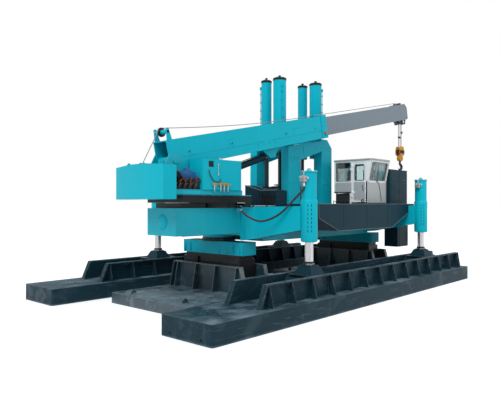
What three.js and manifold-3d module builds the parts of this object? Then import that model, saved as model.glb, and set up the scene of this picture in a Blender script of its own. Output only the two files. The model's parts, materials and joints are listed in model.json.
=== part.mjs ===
// A walking hydraulic press-in pile driver: two long boats and two short boats carry a
// platform with a press frame over the pile well, a telescopic crane and a cab.
// Millimetres, +Z up, +X towards the cab end. Sizes are set about the pile axis, and the
// finished machine is shifted so that its footprint's centre is the origin.
import * as THREE from "three";
import { mergeVertices } from "three/addons/utils/BufferGeometryUtils.js";
import Module from "manifold-3d";

const wasm = await Module();
wasm.setup();

// ---- clearances ----
const seat = 0.3;            // between pieces that rest on or bolt to each other
const pinFit = 0.6;          // round a pin, a rod in its gland or a slide pad
const sideFit = 12;          // beside the boom and its eyes

// ---- long boats ----
const boatLength = 13800, boatWidth = 1670, boatDepth = 475;
const boatTrack = 6620;      // between the two boats' centre lines
const boatRestOffset = -1000; // the boats stand this far off the pile axis
const wallLength = 11900, wallHeight = 555, wallLean = 250;
const wallOffset = 800;      // wall's middle from the boat's middle
const channelHalf = 437;     // channel's half width between the walls
const webThickness = 26, flangeWidth = 150, flangeThickness = 30;
const ribCount = 14, ribPitch = 862, ribReach = 250, ribThickness = 24;

// ---- legs ----
const legSpan = 6950;        // between left and right legs
const sleeveBottom = 1880, sleeveStep = 3000, sleeveTop = 3800;
const sleeveRadius = 232, sleeveNeckRadius = 208, glandDepth = 170;
const rodRadius = 115, boreRadius = 135, rodTop = 3150, rodFoot = 1250;
const armWidth = 500, armRootLow = 1850, armRootHigh = 2820, armTipLow = 2230, armTipHigh = 2860;
const armFillet = 350, armLip = 25;
const valveRight = -150, valveWidth = 180, valveLow = 3500;  // block on a sleeve, from the leg's axis

// ---- trolleys ----
const trolleyLength = 1200, trolleyWidth = 770, trolleyLow = 560, trolleyHigh = 1020;
const rollerRadius = 150, rollerWidth = 160, rollerSpread = 400;

// ---- platform ----
const deckTop = 2800, slabBottom = 2000, keelBottom = 1780;
const slabLength = 8200, keelLength = 6200, slabWidth = 2600;
const craneBeamEnd = -6490, craneBeamBottom = 2070, craneBeamFar = -110;
const wellLength = 2660, wellWidth = 1090;
const outletX = -4270, outletSize = 120, outletLow = 2660;  // the hose's fitting on the crane beam's flank
const hoseRadius = 30;

// ---- side trays ----
const trayFace = 2950, trayTop = 2920, trayBottom = 2090;
const trayLeft = -2500, trayRight = 3650, trayKeelLeft = -1450, trayKeelRight = 1950;
const trayLeftChamfer = 2500, trayRightChamfer = 2770;

// ---- short boats and carriages ----
const shortBoatLength = 5500, shortBoatWidth = 3440, shortBoatDepth = 300;
const carriageSpan = 7400;   // between the two turntables
const shortWallHeight = 800, shortWallLean = 220, shortWallInset = 40;
const carriageWidth = 600, carriageLength = 2600, carriageBottom = 1390, carriageTop = 1780;
const turntableRadius = 480, bogieTop = 1280, bogieLow = 560, bogieLength = 640, bogieSpread = 1800;

// ---- press frame ----
const pillarInner = 630, pillarOuter = 1280, pillarNear = 550, pillarFar = 860;
const leftPillarTop = 4420, rightPillarTop = 5250, pillarChamfer = 280;
const girderRootLow = 4800, girderLeftHigh = 4850, girderRightHigh = 5180;
const leftBeamLow = 4760, leftBeamHigh = 5150, rightBeamLow = 4800, rightBeamHigh = 5230;
const cylinderX = 1055, cylinderY = 300;
const nearBarrelRadius = 222, farBarrelRadius = 178, barrelWall = 60, pressGland = 150;
const leftBarrelTop = 7250, rightBarrelTop = 7410, leftBarrelLow = 4700, rightBarrelLow = 4600;
const flangeLip = 26, pressFlange = 60;

// ---- pile clamp ----
const pressRodRadius = 60, pressRodTop = 6900;
const clampLength = 1100, clampWidth = 1000, clampLow = 2200, clampHigh = 3550;
const earReach = 1250, earLow = 2980, earHigh = 3460, earWidth = 900;
const pileBoreRadius = 310;

// ---- cab ----
const cabLeft = 1040, cabWidth = 1310, cabRear = -1140, cabNose = -2500;
const cabFloor = 2920, cabStep = 3300, cabStepAt = -1850, cabBelt = 3700, cabEaves = 4450;
const cabLean = 150, cabWall = 60, roofThickness = 50, roofLip = 35;
const doorRear = -1930, doorNose = -2430, doorLow = 3030, doorHigh = 4360, doorGap = 8, doorThickness = 50;
const windowLow = 3740, sideWindowNose = -1740, paneThickness = 10;
const hingeRadius = 20, hingeLength = 110, hingeLevels = [3150, 4080];

// ---- boxes on the deck ----
const cabinetGap = 100;      // between the cab and the cabinet
const cabinetLength = 1370, cabinetNear = -2600, cabinetFar = -1500, cabinetTop = 4180;
const packLeft = 1770, packLength = 1700, packNear = 1480, packFar = 2720, packTop = 3640;
const standLeft = -1835, standRight = -1330, standNear = -820, standFar = 600, standTop = 3370;
const tankNear = -2260, tankFar = -1700, tankLength = 870, tankLow = 1260, tankHigh = 2100;

// ---- crane ----
const slewX = -4600, slewY = -700, craneTurn = -3.5 * Math.PI / 180;
const ringRadius = 700, ringHeight = 144;
const underframeHeight = 215, craneDeckHeight = 130;
const frameBack = -2090, deckFront = 320, frameHalf = 900;
const underframeBack = -1700, underframeFront = 760;
const cheekThickness = 40, cheekBack = -1950, cheekFront = 320;
const ballastBack = -2555, ballastFront = -2115, ballastWidth = 2210, ballastHigh = 3890;
const ballastCrown = 3940, ballastLow = 3030, ballastBulge = 45;
const cheekNose = 3660, cheekSaddle = 3860, cheekHorn = 4260;  // heights along a cheek plate's top
const boomPivotA = -1600, boomPivotZ = 4050, boomSlope = 12.08 * Math.PI / 180;
const pivotPinRadius = 70;
const winchA = -1700, winchZ = 3510, drumRadius = 110, drumFlange = 190, drumNeck = 60;
const craneTankBack = -1150, craneTankFront = 240, craneTankTop = 4110;
const coolerBack = -1500, coolerFront = 200, coolerTop = 3900;
const motorBedBack = -1900, motorBedFront = -1200, motorRadius = 130, pumpRadius = 95;

// ---- boom, measured from its pivot along and across its own axis ----
const boomWidth = 600, boomDepth = 760, boomDrop = 194, boomWall = 26;
const boomRear = -140, boomNose = 6700, collarLength = 260, collarLip = 22;
const innerWidth = 500, innerDepth = 640, innerRear = 3300, innerNose = 11900, innerWall = 22;
const headNose = 12450, headPin = 12200, headPinDrop = -210, headCheek = 40, headSlot = 110;

// ---- luffing cylinder, in the crane's own plane ----
const luffFootA = 0, luffFootZ = 3700, luffEyeA = 2350, luffEyeZ = 4480;
const luffBarrelRadius = 105, luffRodRadius = 62, luffBarrelLength = 2220, luffRodStart = 230;
const luffEyeRadius = 105, luffEyeWidth = 150, luffPinRadius = 45;
const luffBracketPlay = 20, luffBracketThickness = 35, luffBracketBase = 14;

// ---- hook ----
const ropeRadius = 13, ropeSpread = 88, ropeLength = 1040, sheaveWidth = 120;
const blockWidth = 300, blockThickness = 220, blockHeight = 620, hookRadius = 120;

// ---- worked out ----
const legX = legSpan / 2, legY = boatTrack / 2;
const turntableX = carriageSpan / 2;
const hingeX = cabLeft - hingeRadius - 2, hingeY = doorRear + 2 * hingeRadius;
const craneDeckLow = deckTop + seat + ringHeight + pinFit + underframeHeight;
const craneDeckHigh = craneDeckLow + craneDeckHeight;
const boomTop = boomDepth - boomDrop, boomBottom = -boomDrop;
const innerPlay = (boomDepth - innerDepth) / 2;
const cheekInner = boomWidth / 2 + sideFit;
const luffBracketGap = 2 * luffBarrelRadius + luffBracketPlay;
const cabinetLeft = cabLeft + cabWidth + cabinetGap;
const leftEnd = boatRestOffset - boatLength / 2;
const rightEnd = turntableX + shortBoatLength / 2;
const footprintShift = -(leftEnd + rightEnd) / 2;

// ---- finishes ----
const paint = (color, roughness = 0.45, metalness = 0.1) => ({ color, roughness, metalness });
const teal = paint(0x2ab2c8), slate = paint(0x33485a, 0.6), navy = paint(0x263a4a, 0.55);
const grey = paint(0x7a858f), white = paint(0xc9cbc8), yellow = paint(0xe0a22a);
const black = paint(0x1b2126, 0.7), chrome = paint(0xb8bcc0, 0.2, 1), cloth = paint(0x23262a, 0.9, 0);

const machine = new THREE.Group();
machine.position.x = footprintShift;
const crane = new THREE.Group();
crane.position.set(slewX, slewY, 0);
crane.rotation.z = craneTurn;
const boom = new THREE.Group();
boom.position.set(boomPivotA, 0, boomPivotZ);
boom.rotation.y = -boomSlope;
machine.add(crane);
crane.add(boom);

function add(parent, name, shape, finish) {
  const mesh = new THREE.Mesh(shape.isBufferGeometry ? shape : geometryOf(shape),
    new THREE.MeshStandardMaterial(finish));
  mesh.name = name;
  parent.add(mesh);
  return mesh;
}

// ---- shapes ----
const roundSides = 20, pinSides = 32;   // flats round a plain shaft, and round a hinge pin

function solid(geometry) {
  const bare = geometry.clone();
  bare.deleteAttribute("normal");
  bare.deleteAttribute("uv");
  const merged = mergeVertices(bare, 1e-3);
  return new wasm.Manifold(new wasm.Mesh({
    numProp: 3,
    vertProperties: new Float32Array(merged.attributes.position.array),
    triVerts: new Uint32Array(merged.index.array),
  }));
}

function geometryOf(body) {
  const mesh = body.getMesh();
  const geometry = new THREE.BufferGeometry();
  geometry.setAttribute("position", new THREE.BufferAttribute(mesh.vertProperties, 3));
  geometry.setIndex(new THREE.BufferAttribute(mesh.triVerts, 1));
  geometry.computeVertexNormals();
  return geometry;
}

function joined(shapes) {
  return shapes.reduce((whole, shape) => whole.add(shape));
}

function box([x0, x1], [y0, y1], [z0, z1]) {
  const geometry = new THREE.BoxGeometry(x1 - x0, y1 - y0, z1 - z0);
  geometry.translate((x0 + x1) / 2, (y0 + y1) / 2, (z0 + z1) / 2);
  return solid(geometry);
}

function outline(points) {
  return points instanceof THREE.Shape ? points
    : new THREE.Shape(points.map(([x, y]) => new THREE.Vector2(x, y)));
}

// A shape drawn in plan, raised from z0 to z1.
function raised(points, [z0, z1], curveSegments = 12) {
  const geometry = new THREE.ExtrudeGeometry(outline(points),
    { depth: z1 - z0, bevelEnabled: false, curveSegments });
  geometry.translate(0, 0, z0);
  return solid(geometry);
}

// A shape drawn in side view (X, Z), running from y0 to y1.
function sideways(points, [y0, y1]) {
  const geometry = new THREE.ExtrudeGeometry(outline(points), { depth: y1 - y0, bevelEnabled: false });
  geometry.rotateX(Math.PI / 2);
  geometry.translate(0, y1, 0);
  return solid(geometry);
}

// A shape drawn in end view (Y, Z), running from x0 to x1.
function endways(points, [x0, x1]) {
  const geometry = new THREE.ExtrudeGeometry(outline(points), { depth: x1 - x0, bevelEnabled: false });
  geometry.rotateX(Math.PI / 2);
  geometry.rotateZ(Math.PI / 2);
  geometry.translate(x0, 0, 0);
  return solid(geometry);
}

function turned(profile, sides = roundSides) {
  const points = profile.map(([radius, z]) => new THREE.Vector2(radius, z));
  const geometry = new THREE.LatheGeometry(points, sides);
  geometry.rotateX(Math.PI / 2);
  return solid(geometry);
}

function disc(radius, [z0, z1], sides = roundSides) {
  return turned([[0, z0], [radius, z0], [radius, z1], [0, z1]], sides);
}

// A round bar along Y.
function barAcross(radius, [y0, y1], sides = roundSides) {
  return disc(radius, [y0, y1], sides).rotate([-90, 0, 0]);
}

// ---- boats ----
function rib([low, high], root, reach) {
  return endways([[root, low], [root + reach, low], [root + flangeWidth * 0.75, high], [root, high]],
    [-ribThickness / 2, ribThickness / 2]);
}

// One channel wall of a boat, standing on z = 0 and running along X: a web with its foot on
// y = 0, a flange that follows its top and leaning ends, and ribs that buttress it on +Y.
function channelWall({ length, height, lean, ribs, pitch, reach }) {
  const foot = length / 2, top = foot - lean, skin = flangeThickness;
  const outer = [[-foot, 0], [foot, 0], [top, height], [-top, height]];
  const inner = [[-foot + 2 * skin, -1], [foot - 2 * skin, -1], [top - skin, height - skin],
    [-top + skin, height - skin]];
  const flange = sideways(outer, [0, flangeWidth]).subtract(sideways(inner, [-1, flangeWidth + 1]));
  const parts = [sideways(outer, [0, webThickness]), flange];
  for (let i = 0; i < ribs; i += 1) {
    const at = (i - (ribs - 1) / 2) * pitch;
    parts.push(rib([0, height - skin / 2], webThickness / 2, reach).translate([at, 0, 0]));
  }
  return joined(parts);
}

function roundedPlate(length, width, radius, [z0, z1]) {
  const x = length / 2, y = width / 2;
  const plate = new THREE.Shape();
  plate.absarc(x - radius, y - radius, radius, 0, Math.PI / 2);
  plate.absarc(-x + radius, y - radius, radius, Math.PI / 2, Math.PI);
  plate.absarc(-x + radius, -y + radius, radius, Math.PI, 1.5 * Math.PI);
  plate.absarc(x - radius, -y + radius, radius, 1.5 * Math.PI, 2 * Math.PI);
  return raised(plate, [z0, z1], 3);
}

function longBoat(side, y) {
  const wall = {
    length: wallLength, height: wallHeight, lean: wallLean, ribs: ribCount, pitch: ribPitch, reach: ribReach,
  };
  const boat = new THREE.Group();
  boat.position.set(boatRestOffset, y, 0);
  machine.add(boat);
  add(boat, `${side}_boat_hull`, roundedPlate(boatLength, boatWidth, 60, [0, boatDepth]), slate);
  const walls = { outer: Math.sign(y), inner: -Math.sign(y) };
  for (const [place, way] of Object.entries(walls)) {
    const mesh = add(boat, `${side}_boat_${place}_wall`, channelWall(wall), slate);
    mesh.position.set(wallOffset, way * channelHalf, boatDepth + seat);
    mesh.rotation.z = way > 0 ? 0 : Math.PI;
  }
}

function shortBoat(side, x) {
  const wall = {
    length: shortBoatWidth - 2 * shortWallInset, height: shortWallHeight, lean: shortWallLean,
    ribs: 4, pitch: ribPitch, reach: ribReach,
  };
  const parts = [roundedPlate(shortBoatLength, shortBoatWidth, 60, [0, shortBoatDepth])];
  for (const way of [-1, 1]) {
    const turn = way > 0 ? -90 : 90;
    parts.push(channelWall(wall).rotate([0, 0, turn]).translate([way * channelHalf, 0, shortBoatDepth - 1]));
  }
  add(machine, `${side}_short_boat`, joined(parts), slate).position.x = x;
}

function rollers(radius, [low, spreadX, spreadY]) {
  const wheels = [];
  for (const x of [-spreadX, spreadX]) {
    for (const y of [-spreadY, spreadY]) {
      const wheel = barAcross(radius, [-rollerWidth / 2, rollerWidth / 2], 16);
      wheels.push(wheel.translate([x, y, low + radius]));
    }
  }
  return wheels;
}

function trolley(name, x, y) {
  const across = trolleyWidth / 2, along = trolleyLength / 2;
  const shoulder = trolleyHigh - 160;
  const body = sideways([[-along, trolleyLow], [along, trolleyLow], [along, shoulder],
    [along - 160, trolleyHigh], [-along + 160, trolleyHigh], [-along, shoulder]], [-across, across]);
  const housing = new THREE.CylinderGeometry(260, 430, rodFoot - trolleyHigh + 2, 4);
  housing.rotateX(Math.PI / 2);
  housing.rotateZ(Math.PI / 4);
  housing.translate(0, 0, (rodFoot + trolleyHigh) / 2 - 1);
  const parts = [body, solid(housing),
    ...rollers(rollerRadius, [boatDepth + seat, rollerSpread, across - rollerWidth / 2 - 20])];
  add(machine, name, joined(parts), navy).position.set(x, y, 0);
}

// ---- legs ----
// The arm in plan, growing from the platform's flank (y = 0) out to the sleeve, with a round
// sweep into the flank on both sides. grow fattens it, to cut its room out of a neighbour.
function armPlan(reach, grow) {
  const half = armWidth / 2 + grow, sweep = armFillet - grow;
  const centreX = armWidth / 2 + armFillet, centreY = armFillet + armLip;
  const plan = new THREE.Shape();
  plan.moveTo(centreX + grow, 0);
  plan.lineTo(centreX + grow, armLip + grow);
  plan.absarc(centreX, centreY, sweep, -Math.PI / 2, -Math.PI, true);
  plan.lineTo(half, reach);
  plan.lineTo(-half, reach);
  plan.absarc(-centreX, centreY, sweep, 0, -Math.PI / 2, true);
  plan.lineTo(-centreX - grow, armLip + grow);
  plan.lineTo(-centreX - grow, 0);
  return plan;
}

function arm(grow = 0) {
  const root = slabWidth / 2, reach = legY - root;
  const wide = armWidth + armFillet * 2;
  const profile = [[-1, armRootLow - grow], [reach + sleeveRadius, armTipLow - grow],
    [reach + sleeveRadius, armTipHigh + grow], [-1, armRootHigh + grow]];
  return raised(armPlan(reach, grow), [0, sleeveTop], 6)
    .intersect(endways(profile, [-wide, wide]));
}

function sleeve() {
  const cap = sleeveTop - 70;
  return turned([
    [rodRadius + pinFit, sleeveBottom], [sleeveRadius, sleeveBottom], [sleeveRadius, sleeveStep],
    [sleeveNeckRadius, sleeveStep + 30], [sleeveNeckRadius, sleeveTop - 40],
    [sleeveNeckRadius + 18, sleeveTop - 40], [sleeveNeckRadius + 18, sleeveTop], [60, sleeveTop],
    [60, sleeveTop + 80], [0, sleeveTop + 80],
    [0, cap], [boreRadius, cap], [boreRadius, sleeveBottom + glandDepth],
    [rodRadius + pinFit, sleeveBottom + glandDepth], [rodRadius + pinFit, sleeveBottom],
  ]);
}

// The sleeve with its arm, seated on the platform's flank at the arm's root.
function leg(name, x, y) {
  const way = Math.sign(y), root = slabWidth / 2 + seat;
  const reach = arm().translate([0, root, 0]).rotate([0, 0, way > 0 ? 0 : 180]);
  const core = disc(boreRadius + 40, [sleeveBottom - 10, sleeveTop]).translate([0, y, 0]);
  const valve = box([valveRight - valveWidth, valveRight], [y - valveWidth / 2, y + valveWidth / 2],
    [valveLow, valveLow + valveWidth]);
  const body = joined([reach.subtract(core), sleeve().translate([0, y, 0]), valve.subtract(core)]);
  add(machine, name, body, teal).position.x = x;
}

function legRod(name, x, y) {
  const collar = rodRadius + 35;
  const rod = turned([[0, rodFoot + seat], [collar, rodFoot + seat], [collar, rodFoot + 40],
    [rodRadius, rodFoot + 90], [rodRadius, rodTop], [0, rodTop]]);
  add(machine, name, rod, chrome).position.set(x, y, 0);
}

// ---- platform ----
function platform() {
  const half = slabWidth / 2;
  const slab = box([-slabLength / 2, slabLength / 2], [-half, half], [slabBottom, deckTop]);
  const keel = box([-keelLength / 2, keelLength / 2], [-half, half], [keelBottom, slabBottom + 1]);
  const beam = box([craneBeamEnd, -slabLength / 2 + 1], [-half, craneBeamFar], [craneBeamBottom, deckTop]);
  const outlet = box([outletX - outletSize / 2, outletX + outletSize / 2], [-half - outletSize, -half + 1],
    [outletLow, outletLow + outletSize]);
  const well = box([-wellLength / 2, wellLength / 2], [-wellWidth / 2, wellWidth / 2], [0, deckTop + 1]);
  add(machine, "platform", joined([slab, keel, beam, outlet]).subtract(well), teal);
}

// A tray along one flank, with its ends chamfered underneath and the right-hand arm's room cut out.
function sideTray(side, way) {
  const root = slabWidth / 2 + seat;
  const profile = [[trayLeft, trayTop], [trayLeft, trayLeftChamfer], [trayKeelLeft, trayBottom],
    [trayKeelRight, trayBottom], [trayRight, trayRightChamfer], [trayRight, trayTop]];
  const span = way > 0 ? [root, trayFace] : [-trayFace, -root];
  const room = arm(seat).translate([0, slabWidth / 2, 0]).rotate([0, 0, way > 0 ? 0 : 180]);
  add(machine, `${side}_side_tray`, sideways(profile, span).subtract(room.translate([legX, 0, 0])), navy);
}

// The hose that feeds the near left leg: out of the fitting on the platform's flank, down in a
// slack bend and up into the leg's valve block.
function hose() {
  const fitting = -slabWidth / 2 - outletSize - seat, outletZ = outletLow + outletSize / 2;
  const valveX = -legX + valveRight - valveWidth / 2;
  const route = new THREE.CatmullRomCurve3([
    [outletX, fitting, outletZ], [outletX, fitting - 90, outletZ], [-4240, -1740, 2560], [-4080, -2090, 2430],
    [-3900, -2550, 2600], [-3780, -3000, 3010], [valveX, -legY, valveLow - 150],
    [valveX, -legY, valveLow - seat],
  ].map((point) => new THREE.Vector3(...point)));
  const section = new THREE.Shape().absarc(0, 0, hoseRadius, 0, 2 * Math.PI);
  const geometry = new THREE.ExtrudeGeometry(section, { extrudePath: route, steps: 32, curveSegments: 8 });
  add(machine, "leg_hose", solid(geometry), black);
}

// ---- short-boat carriages ----
function carriage(side, x) {
  const half = carriageWidth / 2, along = carriageLength / 2;
  const beam = box([-half, half], [-along, along], [carriageBottom, carriageTop]);
  const table = disc(turntableRadius, [carriageTop - 1, slabBottom - pinFit], 32);
  add(machine, `${side}_carriage`, joined([beam, table]), teal).position.x = x;
  const bogies = [box([-half + 20, half - 20], [-along + 120, along - 120],
    [bogieTop - 200, carriageBottom - seat])];
  for (const y of [-bogieSpread / 2, bogieSpread / 2]) {
    const body = box([-half - 50, half + 50], [y - bogieLength / 2, y + bogieLength / 2],
      [bogieLow, bogieTop]);
    const wheels = rollers(rollerRadius, [shortBoatDepth + seat, 200, half - 60])
      .map((wheel) => wheel.rotate([0, 0, 90]).translate([0, y, 0]));
    bogies.push(body, ...wheels);
  }
  add(machine, `${side}_bogies`, joined(bogies), navy).position.x = x;
}

// ---- press frame ----
function pillar(name, xWay, yWay) {
  const top = xWay > 0 ? rightPillarTop : leftPillarTop;
  const cut = xWay > 0 ? pillarChamfer : 0;
  const corner = xWay > 0 ? [[pillarOuter, top - cut], [pillarOuter - cut, top]] : [[pillarOuter, top]];
  const foot = deckTop + seat;
  const profile = [[pillarInner, foot], [pillarOuter, foot], ...corner, [pillarInner, top]]
    .map(([x, z]) => [xWay * x, z]);
  const span = yWay > 0 ? [pillarNear, pillarFar] : [-pillarFar, -pillarNear];
  add(machine, name, sideways(profile, span), teal);
}

function barrelHole(x, y, radius) {
  return disc(radius + seat, [leftBarrelLow - 200, rightBarrelTop]).translate([x, y, 0]);
}

function barrelRadius(yWay) {
  return yWay < 0 ? nearBarrelRadius : farBarrelRadius;
}

// Two girders along X, sloping up from the left pillars to the right ones, tied at the right by a
// cross beam that holds two press cylinders. A beam between the left ends holds the other two.
function pressTopFrame() {
  const inner = pillarInner - seat;
  const girder = [[-pillarOuter, leftPillarTop + seat], [-pillarInner, leftPillarTop + seat],
    [inner, girderRootLow], [inner, girderRightHigh], [-pillarOuter, girderLeftHigh]];
  const tie = pillarNear + 10;
  const parts = [
    sideways(girder, [-pillarFar, -pillarNear]), sideways(girder, [pillarNear, pillarFar]),
    box([pillarInner - 230, inner], [-tie, tie], [rightBeamLow, girderRightHigh]),
    box([inner - 1, pillarOuter], [-pillarNear + seat, pillarNear - seat], [rightBeamLow, rightBeamHigh]),
  ];
  const leftBeam = box([-pillarOuter, -pillarInner], [-pillarNear + seat, pillarNear - seat],
    [leftBeamLow, leftBeamHigh]);
  const holes = (xWay) => joined([-1, 1].map((yWay) => barrelHole(xWay * cylinderX, yWay * cylinderY,
    barrelRadius(yWay))));
  add(machine, "press_top_frame", joined(parts).subtract(holes(1)), teal);
  add(machine, "left_top_beam", leftBeam.subtract(holes(-1)), teal);
}

// A press cylinder's barrel, hung by its flange on the cross beam, open below for its rod.
function pressCylinder(name, xWay, yWay) {
  const radius = barrelRadius(yWay), bore = radius - barrelWall, gland = pressRodRadius + pinFit;
  const low = xWay < 0 ? leftBarrelLow : rightBarrelLow, top = xWay < 0 ? leftBarrelTop : rightBarrelTop;
  const rest = (xWay < 0 ? leftBeamHigh : rightBeamHigh) + seat;
  const barrel = turned([
    [gland, low], [radius, low], [radius, rest], [radius + flangeLip, rest],
    [radius + flangeLip, rest + pressFlange], [radius, rest + pressFlange], [radius, top - 90],
    [radius + 12, top - 90], [radius + 12, top - 20],
    [radius - 30, top], [50, top], [50, top + 90], [0, top + 90], [0, top - 80], [bore, top - 80],
    [bore, low + pressGland], [gland, low + pressGland], [gland, low],
  ]);
  add(machine, name, barrel, teal).position.set(xWay * cylinderX, yWay * cylinderY, 0);
}

// The clamp that grips the pile: a box with the pile's bore through it and an ear at each end
// that two press rods stand on.
function pressClamp() {
  const parts = [
    box([-clampLength / 2, clampLength / 2], [-clampWidth / 2, clampWidth / 2], [clampLow, clampHigh]),
    box([-earReach, earReach], [-earWidth / 2, earWidth / 2], [earLow, earHigh]),
  ];
  for (const x of [-cylinderX, cylinderX]) {
    for (const y of [-cylinderY, cylinderY]) {
      parts.push(disc(pressRodRadius, [earHigh - 40, pressRodTop]).translate([x, y, 0]));
    }
  }
  const bore = disc(pileBoreRadius, [clampLow - 1, clampHigh + 1], 24);
  add(machine, "press_clamp", joined(parts).subtract(bore), navy);
}

// ---- cab ----
function cabProfile(inset) {
  const lean = cabLean * (cabEaves - inset - cabBelt) / (cabEaves - cabBelt);
  return [[cabNose + inset, cabFloor + seat + inset], [cabStepAt - inset, cabFloor + seat + inset],
    [cabStepAt - inset, cabStep + inset], [cabRear - inset, cabStep + inset],
    [cabRear - inset, cabEaves - inset],
    [cabNose - lean + inset, cabEaves - inset], [cabNose + inset, cabBelt]];
}

// Each window is a recess that leaves a thin pane flush with the room's wall; the doorway is open.
function cabShell() {
  const right = cabLeft + cabWidth;
  const hull = endways(cabProfile(0), [cabLeft, right]);
  const room = endways(cabProfile(cabWall), [cabLeft + cabWall, right - cabWall]);
  const roof = endways([[cabRear + roofLip, cabEaves - 1], [cabRear + roofLip, cabEaves + roofThickness],
    [cabNose - cabLean - roofLip, cabEaves + roofThickness], [cabNose - cabLean - roofLip, cabEaves - 1]],
  [cabLeft - roofLip, right + roofLip]);
  const outside = cabLeft - 200, inside = cabLeft + cabWall * 1.5;
  const doorway = box([outside, inside], [doorNose - doorGap, doorRear + doorGap],
    [doorLow - doorGap, doorHigh + doorGap]);
  const lining = endways(cabProfile(cabWall - paneThickness),
    [cabLeft + cabWall - paneThickness, right - cabWall + paneThickness]);
  const windows = [
    box([outside, right + 200], [sideWindowNose, cabRear - 130], [windowLow, doorHigh]),
    box([right - cabWall * 1.5, right + 200], [doorNose, doorRear], [windowLow, doorHigh]),
    box([cabLeft + 110, right - 110], [cabNose - cabLean - 100, cabNose + cabWall * 1.2],
      [cabBelt + 45, cabEaves - 90]),
    box([cabLeft + 180, right - 180], [cabRear - cabWall * 1.5, cabRear + 100], [windowLow, doorHigh - 40]),
  ];
  const knuckles = hingeLevels.flatMap((level) => [
    disc(hingeRadius, [level, level + hingeLength], 16).translate([hingeX, hingeY, 0]),
    box([hingeX, cabLeft + 1], [hingeY - 10, hingeY + 10], [level, level + hingeLength]),
  ]);
  const glazed = hull.subtract(doorway).subtract(joined(windows).subtract(lining)).subtract(room);
  add(machine, "cab_shell", joined([glazed, roof, ...knuckles]), white);
}

// The leaf hangs on knuckles that stand on the shell's own.
function cabDoor() {
  const leaf = box([cabLeft, cabLeft + doorThickness], [doorNose, doorRear], [doorLow, doorHigh]);
  const window = box([cabLeft - 10, cabLeft + doorThickness - paneThickness], [doorNose + 60, doorRear - 60],
    [windowLow, doorHigh - 60]);
  const hinges = hingeLevels.flatMap((level) => {
    const low = level + hingeLength + pinFit, high = low + hingeLength;
    return [
      disc(hingeRadius, [low, high], 16).translate([hingeX, hingeY, 0]),
      box([hingeX, cabLeft - 2], [doorRear - 80, hingeY], [low + 10, high - 10]),
      box([hingeX, cabLeft + 5], [doorRear - 80, doorRear - 10], [low + 10, high - 10]),
    ];
  });
  add(machine, "cab_door", joined([leaf.subtract(window), ...hinges]), white);
}

// The seat stands on the raised rear floor, with the operator's feet in the well in front of it.
function operatorSeat() {
  const x = cabLeft + cabWidth / 2, floor = cabStep + cabWall + seat, edge = cabStepAt - cabWall;
  const cushion = box([x - 250, x + 250], [edge, edge + 500], [floor, floor + 150]);
  const back = box([x - 240, x + 240], [edge + 400, edge + 500], [floor + 149, floor + 800]);
  add(machine, "operator_seat", joined([cushion, back]), cloth);
}

// ---- boxes on and under the deck ----
function deckBoxes() {
  const deck = trayTop + seat;
  add(machine, "equipment_cabinet", box([cabinetLeft, cabinetLeft + cabinetLength], [cabinetNear, cabinetFar],
    [deck, cabinetTop]), navy);
  add(machine, "power_pack", box([packLeft, packLeft + packLength], [packNear, packFar], [deck, packTop]),
    navy);
  const flank = legX + armWidth / 2 + seat;
  add(machine, "rear_tank", box([flank, flank + tankLength], [tankNear, tankFar], [tankLow, tankHigh]), navy);
  const foot = deckTop + seat, middle = (standNear + standFar) / 2;
  const hood = [[standNear, foot], [standFar, foot], [standFar, standTop + 190], [middle, standTop],
    [standNear, standTop]];
  add(machine, "valve_stand", endways(hood, [standLeft, standRight]), navy);
}

// ---- crane upper works ----
function slewRing() {
  const ring = disc(ringRadius, [deckTop + seat, deckTop + seat + ringHeight], 32);
  add(machine, "slew_ring", ring, black).position.set(slewX, slewY, 0);
}

// The cheek plates that carry the boom's pivot pin and the luffing cylinder's foot pin.
function craneFrame() {
  const under = box([underframeBack, underframeFront], [-frameHalf + 90, frameHalf - 90],
    [craneDeckLow - underframeHeight, craneDeckLow + 1]);
  const deck = box([frameBack, deckFront], [-frameHalf, frameHalf], [craneDeckLow, craneDeckHigh]);
  const cheek = [[cheekBack, craneDeckHigh - 1], [cheekFront, craneDeckHigh - 1], [cheekFront, cheekNose],
    [cheekFront - 450, cheekSaddle], [boomPivotA + 700, cheekSaddle], [boomPivotA + 180, cheekHorn - 30],
    [boomPivotA - 160, cheekHorn], [cheekBack, cheekSaddle + 40]];
  const outside = cheekInner + cheekThickness;
  const parts = [under, deck,
    sideways(cheek, [cheekInner, outside]), sideways(cheek, [-outside, -cheekInner]),
    barAcross(pivotPinRadius, [-outside - 30, outside + 30], pinSides).translate([boomPivotA, 0, boomPivotZ]),
    barAcross(luffPinRadius, [-outside - 20, outside + 20], pinSides).translate([luffFootA, 0, luffFootZ])];
  add(crane, "crane_frame", joined(parts), teal);
}

// Slightly bulged in plan and crowned along its top.
function counterweight() {
  const half = ballastWidth / 2, crown = 320;
  const plan = new THREE.Shape();
  plan.moveTo(ballastFront - seat, -half);
  plan.lineTo(ballastFront - seat, half);
  plan.lineTo(ballastBack + ballastBulge, half);
  plan.quadraticCurveTo(ballastBack - ballastBulge, 0, ballastBack + ballastBulge, -half);
  const face = [[-half, ballastLow], [half, ballastLow], [half, ballastHigh], [crown, ballastCrown],
    [-crown, ballastCrown], [-half, ballastHigh]];
  const body = raised(plan, [ballastLow, ballastCrown], 10)
    .intersect(endways(face, [ballastBack - 200, ballastFront]));
  const hooks = box([ballastFront - 2, frameBack - seat], [-300, 300], [craneDeckLow, craneDeckHigh]);
  add(crane, "counterweight", body.add(hooks), teal);
}

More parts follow.
